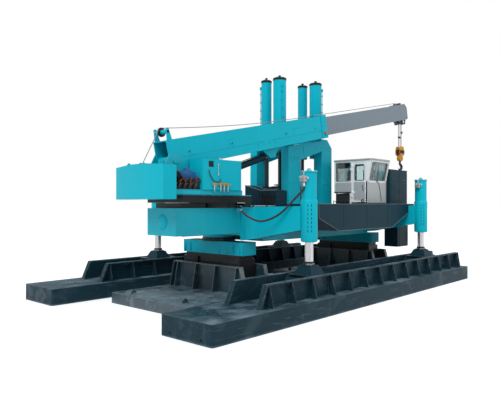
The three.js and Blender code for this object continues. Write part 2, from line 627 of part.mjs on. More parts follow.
function craneBoxes() {
  const floor = craneDeckHigh + seat, cheek = cheekInner + cheekThickness + 35;
  const tank = box([craneTankBack, craneTankFront], [-frameHalf - 40, -cheek], [floor, craneTankTop]);
  const filler = craneTankBack + 210;
  const recess = box([filler, filler + 180], [-frameHalf - 60, -frameHalf + 20],
    [craneTankTop - 210, craneTankTop - 50]);
  add(crane, "crane_tank", tank.subtract(recess), teal);
  add(crane, "crane_cooler", box([coolerBack, coolerFront], [cheek, frameHalf], [floor, coolerTop]), navy);
  const bed = box([motorBedBack, motorBedFront], [-frameHalf + 60, -cheek], [floor, floor + 110]);
  const middle = (motorBedBack + motorBedFront) / 2;
  const motor = disc(motorRadius, [-300, 300]).rotate([0, 90, 0])
    .translate([middle, -frameHalf + 180, floor + 230]);
  const pump = disc(pumpRadius, [-200, 200]).rotate([0, 90, 0])
    .translate([middle + 50, -frameHalf + 380, floor + 200]);
  const valves = box([motorBedFront - 220, motorBedFront - 20], [-frameHalf + 260, -frameHalf + 440],
    [floor + 100, floor + 430]);
  add(crane, "crane_motor_unit", joined([bed, motor, pump, valves]), black);
}

function winchDrum() {
  const end = cheekInner - seat;
  const spool = turned([[0, -end], [drumNeck, -end], [drumNeck, -end + 30], [drumFlange, -end + 30],
    [drumFlange, -end + 55], [drumRadius, -end + 55], [drumRadius, end - 55], [drumFlange, end - 55],
    [drumFlange, end - 30], [drumNeck, end - 30], [drumNeck, end], [0, end]]);
  add(crane, "winch_drum", spool.rotate([-90, 0, 0]).translate([winchA, 0, winchZ]), navy);
}

// ---- boom ----
function tube([x0, x1], width, [low, high], wall) {
  return box([x0, x1], [-width / 2, width / 2], [low, high])
    .subtract(box([x0 - 1, x1 + 1], [-width / 2 + wall, width / 2 - wall], [low + wall, high - wall]));
}

// The base section: a hollow box, open behind, whose collar guides the sliding section. Two horns
// behind carry the rope roller.
function boomBase() {
  const shell = tube([boomRear, boomNose], boomWidth, [boomBottom, boomTop], boomWall);
  const slide = [boomBottom + innerPlay - pinFit, boomTop - innerPlay + pinFit];
  const collar = box([boomNose - collarLength, boomNose + 30],
    [-boomWidth / 2 - collarLip, boomWidth / 2 + collarLip], [boomBottom - collarLip, boomTop + collarLip])
    .subtract(box([0, boomNose + 100], [-innerWidth / 2 - pinFit, innerWidth / 2 + pinFit], slide));
  const boss = barAcross(pivotPinRadius + 60, [-boomWidth / 2, boomWidth / 2]);
  const horn = [[boomRear + 40, boomTop - 40], [boomRear + 210, boomTop - 40],
    [boomRear + 150, boomTop + 330], [boomRear + 70, boomTop + 330]];
  const horns = [-1, 1].map((way) => sideways(horn, way > 0 ? [265, 295] : [-295, -265]));
  const roller = barAcross(60, [-270, 270], 16).translate([boomRear + 110, 0, boomTop + 230]);
  const pin = barAcross(pivotPinRadius + pinFit, [-boomWidth, boomWidth], pinSides);
  add(boom, "boom_base", joined([shell, collar, boss, ...horns, roller]).subtract(pin), teal);
}

// Two plates on a base plate under the boom, which take the luffing cylinder's eye.
function luffBracket() {
  const [eyeX, eyeZ] = inBoomFrame(luffEyeA, luffEyeZ);
  const high = boomBottom - seat, low = high - luffBracketBase;
  const ear = [[eyeX - 420, high], [eyeX + 300, high], [eyeX + 130, eyeZ - 90], [eyeX - 110, eyeZ - 90]];
  const gap = luffBracketGap / 2, outside = gap + luffBracketThickness;
  const base = box([eyeX - 415, eyeX + 295], [-outside, outside], [low, high]);
  const ears = [[gap, outside], [-outside, -gap]].map((span) => sideways(ear, span));
  add(boom, "luff_bracket", joined([base, ...ears]), teal);
}

function inBoomFrame(a, z) {
  const along = a - boomPivotA, up = z - boomPivotZ, c = Math.cos(boomSlope), s = Math.sin(boomSlope);
  return [along * c + up * s, up * c - along * s];
}

function boomSlide() {
  const low = boomBottom + innerPlay;
  add(boom, "boom_slide", tube([innerRear, innerNose], innerWidth, [low, low + innerDepth], innerWall), grey);
}

// The head: closed box in front of the sliding section, with two cheeks below for the hoist sheave.
function boomHead() {
  const low = boomBottom + innerPlay, high = low + innerDepth, half = innerWidth / 2;
  const body = sideways([[innerNose + seat, low], [headNose - 60, low], [headNose, low + 60],
    [headNose, high - 160], [headNose - 160, high + 20], [innerNose + seat, high + 20]], [-half, half]);
  const slot = box([headPin - 420, headPin + 160], [-headSlot, headSlot], [low - 10, low + 190]);
  const cheek = [[innerNose + seat, low + 5], [headPin + 200, low + 5], [headPin + 110, headPinDrop - 110],
    [headPin - 160, headPinDrop - 110]];
  const cheeks = [[headSlot, headSlot + headCheek], [-headSlot - headCheek, -headSlot]]
    .map((span) => sideways(cheek, span));
  const pin = barAcross(30, [-headSlot - headCheek - 15, headSlot + headCheek + 15], pinSides)
    .translate([headPin, 0, headPinDrop]);
  const guard = box([innerNose + 60, innerNose + 360], [-90, 90], [high, high + 75]);
  add(boom, "boom_head", joined([body.subtract(slot), ...cheeks, pin, guard]), grey);
}

// ---- luffing cylinder ----
function luffCylinder() {
  const reach = Math.hypot(luffEyeA - luffFootA, luffEyeZ - luffFootZ);
  const group = new THREE.Group();
  group.position.set(luffFootA, 0, luffFootZ);
  group.rotation.y = -Math.atan2(luffEyeZ - luffFootZ, luffEyeA - luffFootA);
  crane.add(group);
  const gland = luffRodRadius + pinFit, bore = luffBarrelRadius - 25;
  const tubeBody = turned([[0, 80], [luffBarrelRadius, 80], [luffBarrelRadius, luffBarrelLength],
    [gland, luffBarrelLength], [gland, luffBarrelLength - 90], [bore, luffBarrelLength - 90], [bore, 200],
    [0, 200]]);
  const foot = barAcross(luffEyeRadius, [-luffEyeWidth / 2, luffEyeWidth / 2]);
  const pin = barAcross(luffPinRadius + pinFit, [-200, 200], pinSides);
  add(group, "luff_barrel", joined([tubeBody.rotate([0, 90, 0]), foot]).subtract(pin), navy);
  const stem = disc(luffRodRadius, [luffRodStart, reach - 60]).rotate([0, 90, 0]);
  const eye = barAcross(luffEyeRadius - 20, [-luffEyeWidth / 2, luffEyeWidth / 2]).translate([reach, 0, 0]);
  const hole = barAcross(luffPinRadius, [-200, 200]).translate([reach, 0, 0]);
  add(group, "luff_rod", joined([stem, eye]).subtract(hole), chrome);
}

// ---- hook ----
// The sheave on the head's pin, two falls of rope, the block and its hook, hanging straight down.
function hookBlock() {
  const c = Math.cos(boomSlope), s = Math.sin(boomSlope);
  const group = new THREE.Group();
  group.position.set(boomPivotA + headPin * c - headPinDrop * s, 0,
    boomPivotZ + headPin * s + headPinDrop * c);
  crane.add(group);
  const sheave = barAcross(ropeSpread + ropeRadius, [-sheaveWidth / 2, sheaveWidth / 2]);
  const parts = [sheave];
  for (const x of [-ropeSpread, ropeSpread]) {
    parts.push(disc(ropeRadius, [-ropeLength - 20, 0], 8).translate([x, 0, 0]));
  }
  const w = blockWidth / 2, top = -ropeLength, low = top - blockHeight;
  const cheeks = [[-w * 0.7, top], [w * 0.7, top], [w, top - 160], [w, low + 230], [w * 0.45, low],
    [-w * 0.45, low], [-w, low + 230], [-w, top - 160]];
  parts.push(sideways(cheeks, [-blockThickness / 2, blockThickness / 2]));
  parts.push(disc(34, [low - 110, low + 10], 16));
  const bend = new THREE.Shape();
  const centre = low - 100 - hookRadius;
  bend.absarc(0, centre, hookRadius, 0.62 * Math.PI, -0.82 * Math.PI, true);
  bend.absarc(8, centre + 12, hookRadius * 0.56, -0.8 * Math.PI, 0.62 * Math.PI, false);
  parts.push(sideways(bend, [-30, 30]));
  const bore = barAcross(30 + pinFit, [-200, 200], pinSides);
  add(group, "hook_block", joined(parts).subtract(bore), yellow);
}

for (const [side, way] of [["near", -1], ["far", 1]]) {
  longBoat(side, way * legY);
  sideTray(side, way);
  for (const [end, xWay] of [["left", -1], ["right", 1]]) {
    leg(`${side}_${end}_leg`, xWay * legX, way * legY);
    legRod(`${side}_${end}_leg_rod`, xWay * legX, way * legY);
    trolley(`${side}_${end}_trolley`, xWay * legX, way * legY);
    pillar(`${side}_${end}_pillar`, xWay, way);
    pressCylinder(`${side}_${end}_press_cylinder`, xWay, way);
  }
}
for (const [side, way] of [["left", -1], ["right", 1]]) {
  shortBoat(side, way * turntableX);
  carriage(side, way * turntableX);
}
platform();
pressTopFrame();
pressClamp();
cabShell();
cabDoor();
operatorSeat();
deckBoxes();
hose();
slewRing();
craneFrame();
counterweight();
craneBoxes();
winchDrum();
boomBase();
luffBracket();
boomSlide();
boomHead();
luffCylinder();
hookBlock();

export default machine;
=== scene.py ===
"""A walking press-in pile driver: boats, legs, platform, press frame, cab and crane.

Metres, +Z up, +X towards the cab end. Sections follow the machine as it is put together,
from the boats on the ground to the hook on the crane.
"""
import json
import math

import bmesh
import bpy
import numpy as np
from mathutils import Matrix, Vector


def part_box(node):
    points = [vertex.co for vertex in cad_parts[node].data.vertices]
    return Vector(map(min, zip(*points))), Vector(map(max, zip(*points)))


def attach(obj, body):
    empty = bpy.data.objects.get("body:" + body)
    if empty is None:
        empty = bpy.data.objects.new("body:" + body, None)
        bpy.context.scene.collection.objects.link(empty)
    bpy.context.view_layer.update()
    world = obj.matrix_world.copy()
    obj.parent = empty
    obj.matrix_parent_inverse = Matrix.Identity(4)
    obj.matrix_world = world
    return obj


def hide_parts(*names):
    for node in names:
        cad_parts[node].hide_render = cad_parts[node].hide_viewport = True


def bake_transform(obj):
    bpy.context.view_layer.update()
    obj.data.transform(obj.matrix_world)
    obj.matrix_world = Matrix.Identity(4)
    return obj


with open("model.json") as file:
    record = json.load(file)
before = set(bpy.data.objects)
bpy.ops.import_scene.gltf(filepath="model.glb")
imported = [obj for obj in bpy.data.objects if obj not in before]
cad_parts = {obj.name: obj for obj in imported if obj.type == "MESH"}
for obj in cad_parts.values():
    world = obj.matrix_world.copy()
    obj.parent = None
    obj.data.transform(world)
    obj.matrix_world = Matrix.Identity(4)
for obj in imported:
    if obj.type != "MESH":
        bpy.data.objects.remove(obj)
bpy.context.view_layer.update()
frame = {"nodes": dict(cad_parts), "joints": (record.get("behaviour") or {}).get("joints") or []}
nodes = frame["nodes"]
joints = {joint["name"]: joint for joint in frame["joints"]}
scene = bpy.context.scene

# ---- View, floor and light ----
# The camera stands low off the left front corner. The floor is plain and pale, and the lamps
# are a large soft sky lamp behind the camera with even light all round.
view_data = bpy.data.cameras.new("view")
view_data.lens, view_data.sensor_width, view_data.shift_y = 38.35, 36.0, -0.0116
view = bpy.data.objects.new("view", view_data)
view.location = (-14.562, -11.919, 2.905)
view.rotation_euler = (math.radians(90), 0, math.radians(-47.58))
scene.collection.objects.link(view)
scene.camera = view
scene.view_settings.view_transform = "Standard"


def shader(name):
    """A new material, with its node tree and its Principled BSDF."""
    material = bpy.data.materials.new(name)
    material.use_nodes = True
    tree = material.node_tree
    return material, tree, tree.nodes["Principled BSDF"]


def fill_socket(tree, socket, value):
    """Links another node's output to a socket, or gives the socket a plain value."""
    if isinstance(value, bpy.types.NodeSocket):
        tree.links.new(value, socket)
    else:
        socket.default_value = value


def node(tree, kind, *fed, **settings):
    """Adds a node. What is fed goes into its first inputs in turn; a setting that names an input
    feeds that one, and any other sets an attribute."""
    made = tree.nodes.new("ShaderNode" + kind)
    for socket, value in zip(made.inputs, fed):
        if value is not None:
            fill_socket(tree, socket, value)
    for key, value in settings.items():
        if hasattr(made, key):
            setattr(made, key, value)
        else:
            fill_socket(tree, made.inputs[key.replace("_", " ")], value)
    return made


def seen_plainly(tree):
    """1 where a ray comes from the camera, a mirror surface or clear glass, otherwise 0."""
    path = node(tree, "LightPath")
    glossy = node(tree, "Math", path.outputs["Is Camera Ray"], path.outputs["Is Glossy Ray"],
                  operation="MAXIMUM")
    clear = node(tree, "Math", glossy.outputs[0], path.outputs["Is Transmission Ray"], operation="MAXIMUM")
    return clear.outputs[0]


world = bpy.data.worlds.new("studio")
scene.world = world
world.use_nodes = True
sky = world.node_tree
sky_light = sky.nodes["Background"]
sky_light.inputs["Color"].default_value = (0.93, 0.97, 1, 1)
sky_light.inputs["Strength"].default_value = 0.55
white_behind = node(sky, "Background", Color=(1, 1, 1, 1), Strength=1.0)
sky_choice = node(sky, "MixShader", seen_plainly(sky), sky_light.outputs[0], white_behind.outputs[0])
sky.links.new(sky_choice.outputs[0], sky.nodes["World Output"].inputs["Surface"])

floor_material, floor_tree, floor_shader = shader("pale_floor")
floor_shader.inputs["Base Color"].default_value = (0.86, 0.86, 0.86, 1)
floor_shader.inputs["Roughness"].default_value = 1
floor_shader.inputs["Specular IOR Level"].default_value = 0
floor_shader.inputs["Emission Color"].default_value = (1, 1, 1, 1)
floor_glow = node(floor_tree, "Math", seen_plainly(floor_tree), 0.35, operation="MULTIPLY")
floor_tree.links.new(floor_glow.outputs[0], floor_shader.inputs["Emission Strength"])
floor_mesh = bpy.data.meshes.new("floor")
floor_reach = 300
floor_mesh.from_pydata([(x, y, -0.002) for x, y in ((-1, -1), (1, -1), (1, 1), (-1, 1))
                        for x, y in ((x * floor_reach, y * floor_reach),)], [], [(0, 1, 2, 3)])
floor_mesh.materials.append(floor_material)
floor = bpy.data.objects.new("floor", floor_mesh)
scene.collection.objects.link(floor)

for lamp_name, strength, spread, tilt, turn in (("key", 1.7, 30, 42, -66), ("fill", 0.35, 70, 60, 30)):
    lamp_data = bpy.data.lights.new(lamp_name, "SUN")
    lamp_data.energy, lamp_data.angle = strength, math.radians(spread)
    lamp = bpy.data.objects.new(lamp_name, lamp_data)
    lamp.rotation_euler = (math.radians(tilt), 0, math.radians(turn))
    scene.collection.objects.link(lamp)


# ---- Leg hose ----
# A thick rubber hose with crimped steel ends. It leaves the fitting on the platform's flank,
# hangs slack and rises into the valve block on the near left leg.
def unit(vector):
    """The vector, or each row of a table of them, scaled to length 1."""
    vector = np.asarray(vector, float)
    return vector / np.linalg.norm(vector, axis=-1, keepdims=True)


def lofted(rings, closed=False):
    """Joins a stack of rings (rows of points, all with as many) with quads, and caps both ends;
    a closed stack joins its last ring to its first instead."""
    rings = np.asarray(rings, float)
    rows, around = rings.shape[:2]
    row = np.arange(rows if closed else rows - 1)[:, None]
    column = np.arange(around)[None, :]
    here, there = row * around, (row + 1) % rows * around
    after = (column + 1) % around
    quads = np.stack([here + column, here + after, there + after, there + column], -1).reshape(-1, 4)
    faces = quads.tolist()
    if not closed:
        faces.append(list(range(around))[::-1])
        faces.append(list(range((rows - 1) * around, rows * around)))
    return rings.reshape(-1, 3), faces


def gathered(*shapes):
    """Several shapes as one: their points in one table, their faces counted on."""
    points, faces, start = [], [], 0
    for shape_points, shape_faces in shapes:
        points.append(shape_points)
        faces += [[start + corner for corner in face] for face in shape_faces]
        start += len(shape_points)
    return np.concatenate(points), faces


def piece(name, shape, material, body, crease=40):
    """Makes a shape, or a list of them, an object that rides on a body and has a slot, where they
    are named. It is smooth except where it bends by more than the crease angle, and every face is
    turned outwards."""
    if isinstance(shape, list):
        shape = gathered(*shape)
    mesh = bpy.data.meshes.new(name)
    mesh.from_pydata(shape[0].tolist(), [], shape[1])
    whole = bmesh.new()
    whole.from_mesh(mesh)
    bmesh.ops.recalc_face_normals(whole, faces=whole.faces)
    whole.to_mesh(mesh)
    whole.free()
    mesh.shade_smooth()
    mesh.set_sharp_from_angle(angle=math.radians(crease))
    mesh.materials.append(material)
    made = bpy.data.objects.new(name, mesh)
    scene.collection.objects.link(made)
    if body:
        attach(made, body)
    return made


def flowing(points, steps):
    """A smooth line through the points: on each stretch a cubic whose slopes at the ends come from
    the neighbours, weighted by the root of their distances, read at even lengths."""
    points = np.asarray(points, float)
    points = np.vstack([2 * points[0] - points[1], points, 2 * points[-1] - points[-2]])
    line = []
    for p0, p1, p2, p3 in zip(points, points[1:], points[2:], points[3:]):
        d0, d1, d2 = (math.sqrt(np.linalg.norm(b - a)) for a, b in ((p0, p1), (p1, p2), (p2, p3)))
        start = ((p1 - p0) / d0 - (p2 - p0) / (d0 + d1) + (p2 - p1) / d1) * d1
        end = ((p2 - p1) / d1 - (p3 - p1) / (d1 + d2) + (p3 - p2) / d2) * d1
        t = np.linspace(0, 1, 24, endpoint=False)[:, None]
        line.append(p1 + start * t + (3 * (p2 - p1) - 2 * start - end) * t ** 2
                    + (start + end - 2 * (p2 - p1)) * t ** 3)
    line = np.vstack(line + [points[-2:-1]])
    travelled = np.concatenate([[0], np.cumsum(np.linalg.norm(np.diff(line, axis=0), axis=1))])
    even = np.linspace(0, travelled[-1], steps + 1)
    return np.stack([np.interp(even, travelled, line[:, axis]) for axis in range(3)], 1)


def bent_pipe(line, radius, sides=12):
    """A round section carried along a line: at each point a circle square to the line's direction,
    on two side directions that are handed on from point to point without twist."""
    line = np.asarray(line, float)
    ahead = unit(np.gradient(line, axis=0))
    across = unit(np.cross(ahead[0], (0.3, 0.2, 1.0)))
    angle = np.linspace(0, 2 * math.pi, sides, endpoint=False)[:, None]
    widths = np.broadcast_to(radius, len(line))
    rings = []
    for centre, way, width in zip(line, ahead, widths):
        across = unit(across - way * (across @ way))
        rings.append(centre + width * (np.cos(angle) * across + np.sin(angle) * np.cross(way, across)))
    return lofted(rings)


def turned(profile, centre, axis=(0, 0, 1), sides=48):
    """A turned part: each (radius, height) of its profile is a circle round the axis."""
    axis = unit(axis)
    side = unit(np.cross(axis, (1, 0, 0) if abs(axis[0]) < 0.9 else (0, 1, 0)))
    angle = np.linspace(0, 2 * math.pi, sides, endpoint=False)[:, None]
    circle = np.cos(angle) * side + np.sin(angle) * np.cross(axis, side)
    return lofted([np.asarray(centre) + radius * circle + height * axis for radius, height in profile])


def bent_hose(points, steps, radius, sides=10):
    """A round section carried along a smooth line through the points."""
    return bent_pipe(flowing(points, steps), radius, sides)


rubber, rubber_tree, rubber_shader = shader("hose_rubber")
rubber_shader.inputs["Roughness"].default_value = 0.55
rubber_spots = node(rubber_tree, "TexNoise", Scale=60.0, Detail=4.0)
rubber_place = node(rubber_tree, "TexCoord")
rubber_tree.links.new(rubber_place.outputs["Object"], rubber_spots.inputs["Vector"])
rubber_tint = node(rubber_tree, "ValToRGB")
rubber_tint.color_ramp.elements[0].color = (0.006, 0.007, 0.008, 1)
rubber_tint.color_ramp.elements[1].color = (0.03, 0.033, 0.036, 1)
rubber_tree.links.new(rubber_spots.outputs["Fac"], rubber_tint.inputs["Fac"])
rubber_tree.links.new(rubber_tint.outputs["Color"], rubber_shader.inputs["Base Color"])
rubber_ribs = node(rubber_tree, "Bump", Strength=0.4, Distance=0.004, Height=rubber_spots.outputs["Fac"])
rubber_tree.links.new(rubber_ribs.outputs["Normal"], rubber_shader.inputs["Normal"])

hose_radius = 0.03
hose_route = flowing([
    (-3.545, -1.4203, 2.72), (-3.545, -1.5103, 2.72), (-3.515, -1.74, 2.56), (-3.355, -2.09, 2.43),
    (-3.175, -2.55, 2.6), (-3.055, -3.0, 3.01), (-2.99, -3.31, 3.35), (-2.99, -3.31, 3.4997)], 72)
hose = piece("leg_hose_rubber", bent_pipe(hose_route, hose_radius, 20), rubber, "platform")
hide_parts("leg_hose")


# ---- Paint and bare metal ----
# Two-pack enamel sprayed on steel plate. It chips along edges, streaks under rain and takes dust
# on whatever faces up; the boats' paint is scuffed by mud and rollers.
def group(name, inputs, outputs):
    """A shader node group with its sockets, ready to be wired."""
    tree = bpy.data.node_groups.new(name, "ShaderNodeTree")
    for label, kind, value in inputs:
        socket = tree.interface.new_socket(label, in_out="INPUT", socket_type="NodeSocket" + kind)
        if value is not None:
            socket.default_value = value
    for label, kind in outputs:
        tree.interface.new_socket(label, in_out="OUTPUT", socket_type="NodeSocket" + kind)
    return tree, tree.nodes.new("NodeGroupInput"), tree.nodes.new("NodeGroupOutput")


def chipped_edges():
    """Mask of bare edges: 1 where the rounded normal leans off the flat one by more than a rod's
    flats do, broken up by noise."""
    tree, start, end = group("chipped_edges", [("Amount", "Float", 0.6)], [("Mask", "Float")])
    link = tree.links.new
    rounded = node(tree, "Bevel", samples=4, Radius=0.018)
    flat = node(tree, "NewGeometry")
    lean = node(tree, "VectorMath", rounded.outputs[0], flat.outputs["Normal"], operation="DOT_PRODUCT")
    edge = node(tree, "MapRange", From_Min=0.965, From_Max=0.84, Value=lean.outputs["Value"])
    place = node(tree, "TexCoord")
    chips = node(tree, "TexNoise", Scale=9.0, Detail=6.0, Roughness=0.7, Vector=place.outputs["Object"])
    broken = node(tree, "MapRange", From_Min=0.42, From_Max=0.6, Value=chips.outputs["Fac"])
    mask = node(tree, "Math", edge.outputs[0], broken.outputs[0], operation="MULTIPLY")
    scaled = node(tree, "Math", mask.outputs[0], start.outputs["Amount"], operation="MULTIPLY",
                  use_clamp=True)
    link(scaled.outputs[0], end.inputs["Mask"])
    return tree


def settled_dust():
    """Mask of dust: the upward part of the normal times patchy noise, plus splashes that fade out
    above the splash height."""
    tree, start, end = group("settled_dust", [("Amount", "Float", 0.3), ("Splash Height", "Float", 0.5)],
                             [("Mask", "Float")])
    link = tree.links.new
    place = node(tree, "TexCoord")
    surface = node(tree, "NewGeometry")
    facing = node(tree, "SeparateXYZ", surface.outputs["Normal"])
    upward = node(tree, "MapRange", From_Min=0.4, From_Max=1.0, Value=facing.outputs["Z"])
    patches = node(tree, "TexNoise", Scale=1.4, Detail=7.0, Roughness=0.62, Vector=place.outputs["Object"])
    patchy = node(tree, "MapRange", From_Min=0.4, From_Max=0.72, Value=patches.outputs["Fac"])
    lying = node(tree, "Math", upward.outputs[0], patchy.outputs[0], operation="MULTIPLY")
    level = node(tree, "SeparateXYZ", place.outputs["Object"])
    low = node(tree, "Math", level.outputs["Z"], start.outputs["Splash Height"], operation="DIVIDE")
    splash = node(tree, "Math", patches.outputs["Fac"], low.outputs[0], operation="SUBTRACT",
                  use_clamp=True)
    both = node(tree, "Math", lying.outputs[0], splash.outputs[0], operation="MAXIMUM")
    scaled = node(tree, "Math", both.outputs[0], start.outputs["Amount"], operation="MULTIPLY",
                  use_clamp=True)
    link(scaled.outputs[0], end.inputs["Mask"])
    return tree


def plate_paint():
    """Colour and height of sprayed plate: broad drifts of tone, faint streaks that run down, and
    a fine orange peel over the plate's slow waves."""
    tree, start, end = group("plate_paint", [("Color", "Color", None), ("Drift", "Float", 0.12)],
                             [("Color", "Color"), ("Height", "Float"), ("Gloss Drift", "Float")])
    link = tree.links.new
    place = node(tree, "TexCoord")
    drifts = node(tree, "TexNoise", Scale=0.7, Detail=3.0, Vector=place.outputs["Object"])
    stretch = node(tree, "Mapping", Scale=(6, 6, 0.5), Vector=place.outputs["Object"])
    streaks = node(tree, "TexNoise", Scale=1.0, Detail=5.0, Roughness=0.6, Vector=stretch.outputs[0])
    summed = node(tree, "Math", drifts.outputs["Fac"], streaks.outputs["Fac"], operation="ADD")
    centred = node(tree, "Math", summed.outputs[0], 1, operation="SUBTRACT")
    swing = node(tree, "Math", centred.outputs[0], start.outputs["Drift"], 1, operation="MULTIPLY_ADD")
    tone = node(tree, "HueSaturation", Color=start.outputs["Color"], Value=swing.outputs[0])
    link(tone.outputs["Color"], end.inputs["Color"])
    peel = node(tree, "TexNoise", Scale=160.0, Detail=2.0, Vector=place.outputs["Object"])
    waves = node(tree, "Math", drifts.outputs["Fac"], 6, peel.outputs["Fac"], operation="MULTIPLY_ADD")
    link(waves.outputs[0], end.inputs["Height"])
    link(streaks.outputs["Fac"], end.inputs["Gloss Drift"])
    return tree


edge_group, dust_group, paint_group = chipped_edges(), settled_dust(), plate_paint()


def placed(tree, shared, **values):
    """One use of a shared group in a material, with its own values."""
    made = tree.nodes.new("ShaderNodeGroup")
    made.node_tree = shared
    for key, value in values.items():
        made.inputs[key.replace("_", " ")].default_value = value
    return made


def enamel(name, colour, gloss=0.32, worn=(0.3, 0.34, 0.36), chips=0.5, dust=0.25, drift=0.14,
           splash=0.35, dirt=(0.34, 0.32, 0.28), shine=0.2):
    """Painted plate: the paint's own colour drifts, dust lies over it and edges wear to primer."""
    material, tree, principled = shader(name)
    principled.inputs["Specular IOR Level"].default_value = shine
    link = tree.links.new
    coat = placed(tree, paint_group, Color=(*colour, 1), Drift=drift)
    dusty = placed(tree, dust_group, Amount=dust, Splash_Height=splash)
    edges = placed(tree, edge_group, Amount=chips)
    over = node(tree, "MixRGB", Color2=(*dirt, 1), Fac=dusty.outputs["Mask"], Color1=coat.outputs["Color"])
    bare = node(tree, "MixRGB", Color2=(*worn, 1), Fac=edges.outputs["Mask"], Color1=over.outputs["Color"])
    link(bare.outputs["Color"], principled.inputs["Base Color"])
    rough = node(tree, "MapRange", To_Min=gloss - 0.06, To_Max=gloss + 0.1,
                 Value=coat.outputs["Gloss Drift"])
    duller = node(tree, "Math", rough.outputs[0], dusty.outputs["Mask"], operation="ADD", use_clamp=True)
    link(duller.outputs[0], principled.inputs["Roughness"])
    skin = node(tree, "Bump", Strength=0.25, Distance=0.0015, Height=coat.outputs["Height"])
    link(skin.outputs["Normal"], principled.inputs["Normal"])
    return material


def metal(name, colour, roughness, grain=0.1, scale=40.0, stretch=(1, 1, 12)):
    """Bare metal with a drawn grain: noise stretched across the drawing direction sets the
    roughness and a slight tone."""
    material, tree, principled = shader(name)
    link = tree.links.new
    principled.inputs["Metallic"].default_value = 1
    place = node(tree, "TexCoord")
    along = node(tree, "Mapping", Scale=stretch, Vector=place.outputs["Object"])
    lines = node(tree, "TexNoise", Scale=scale, Detail=4.0, Vector=along.outputs[0])
    tone = node(tree, "ValToRGB")
    tone.color_ramp.elements[0].color = (*(0.8 * c for c in colour), 1)
    tone.color_ramp.elements[1].color = (*colour, 1)
    link(lines.outputs["Fac"], tone.inputs["Fac"])
    link(tone.outputs["Color"], principled.inputs["Base Color"])
    rough = node(tree, "MapRange", To_Min=max(roughness - grain, 0.02), To_Max=roughness + grain,
                 Value=lines.outputs["Fac"])
    link(rough.outputs[0], principled.inputs["Roughness"])
    return material


teal = enamel("teal_enamel", (0.003, 0.45, 0.57), worn=(0.02, 0.29, 0.35), chips=0.55, dust=0.05,
              dirt=(0.1, 0.3, 0.34), shine=0.1)
navy = enamel("navy_enamel", (0.007, 0.034, 0.05), gloss=0.42, worn=(0.05, 0.1, 0.13), chips=0.7, dust=0.12,
              dirt=(0.045, 0.085, 0.105), shine=0.08)
black_iron = enamel("black_iron", (0.008, 0.011, 0.014), gloss=0.5, worn=(0.07, 0.08, 0.09), dust=0.2)
chrome = metal("hard_chrome", (0.62, 0.62, 0.63), 0.16, 0.05, 30.0, (1, 1, 0.2))
zinc = metal("zinc_plate", (0.55, 0.56, 0.58), 0.38, 0.1, 25.0, (1, 1, 1))


def coated(material, *names):
    """Gives CAD nodes a finish through their material slots."""
    for name in names:
        for place in nodes[name].material_slots:
            place.material = material


hose_ends = []
for at, way in ((0, 1), (-1, -1)):
    neck = hose_route[at]
    run = unit(hose_route[at + way] - neck)
    profile = [(0.034, 0.001), (0.038, 0.006), (0.038, 0.05), (0.033, 0.056), (0.033, 0.06), (0.037, 0.066),
               (0.037, 0.11), (0.031, 0.116)]
    hose_ends.append(turned(profile, neck, run, 24))
ferrules = piece("leg_hose_ferrules", hose_ends, zinc, "platform")


# ---- Long boats ----
# Welded box pontoons that the machine walks on, with a ribbed channel on top for the trolleys.
# Dark enamel over plate; the flanges and rib tops are rubbed lighter and the decks are muddy.
def corners_of(name):
    """The lowest and the highest corner of a CAD node's box."""
    return tuple(np.array(corner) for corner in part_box(name))


def plate_cut(outline, low, high, origin=(0, 0, 0), along=(1, 0, 0), up=(0, 1, 0), edge=0.004):
    """A flat plate: an outline drawn along two directions and carried from low to high along their
    cross product. At both faces the outline draws in by the edge width, which chamfers it."""
    outline = np.asarray(outline, float)
    x, y = outline.T
    if np.sum(x * np.roll(y, -1) - np.roll(x, -1) * y) < 0:
        outline = outline[::-1]
    ahead = unit(np.roll(outline, -1, axis=0) - outline)
    both = ahead + np.roll(ahead, 1, axis=0)
    share = 1 + (ahead * np.roll(ahead, 1, axis=0)).sum(1, keepdims=True)
    drawn = outline + edge * np.stack([-both[:, 1], both[:, 0]], 1) / np.maximum(share, 0.3)
    along, up = unit(along), unit(up)
    out = np.cross(along, up)
    rings = []
    for flat, height in ((drawn, low), (outline, low + edge), (outline, high - edge), (drawn, high)):
        rings.append(np.asarray(origin) + flat[:, :1] * along + flat[:, 1:] * up + height * out)
    return lofted(rings)


def bar(low, high, edge=0.004):
    """A rectangular bar between two corners, all its edges chamfered."""
    (x0, y0, z0), (x1, y1, z1) = np.minimum(low, high), np.maximum(low, high)
    e = min(edge, 0.3 * min(x1 - x0, y1 - y0, z1 - z0))
    outline = [(x0 + e, y0), (x1 - e, y0), (x1, y0 + e), (x1, y1 - e), (x1 - e, y1), (x0 + e, y1),
               (x0, y1 - e), (x0, y0 + e)]
    return plate_cut(outline, z0, z1, edge=e)


def circle_of(centre, radius, count, first=(1, 0, 0), second=(0, 1, 0), start=0.0):
    """Points spread evenly round a circle that lies in the plane of two directions."""
    angle = np.linspace(start, start + 2 * math.pi, count, endpoint=False)
    turn = np.stack([np.cos(angle), np.sin(angle)], 1)
    return np.asarray(centre) + radius * turn @ np.array((first, second), float)


def hex_bolts(centres, axis, width=0.03, height=0.02):
    """Hexagon heads with chamfered tops, standing on their centres along the axis."""
    return gathered(*[turned([(width / 2, 0), (width / 2, height * 0.8), (width * 0.42, height)],
                             centre, axis, 6) for centre in centres])


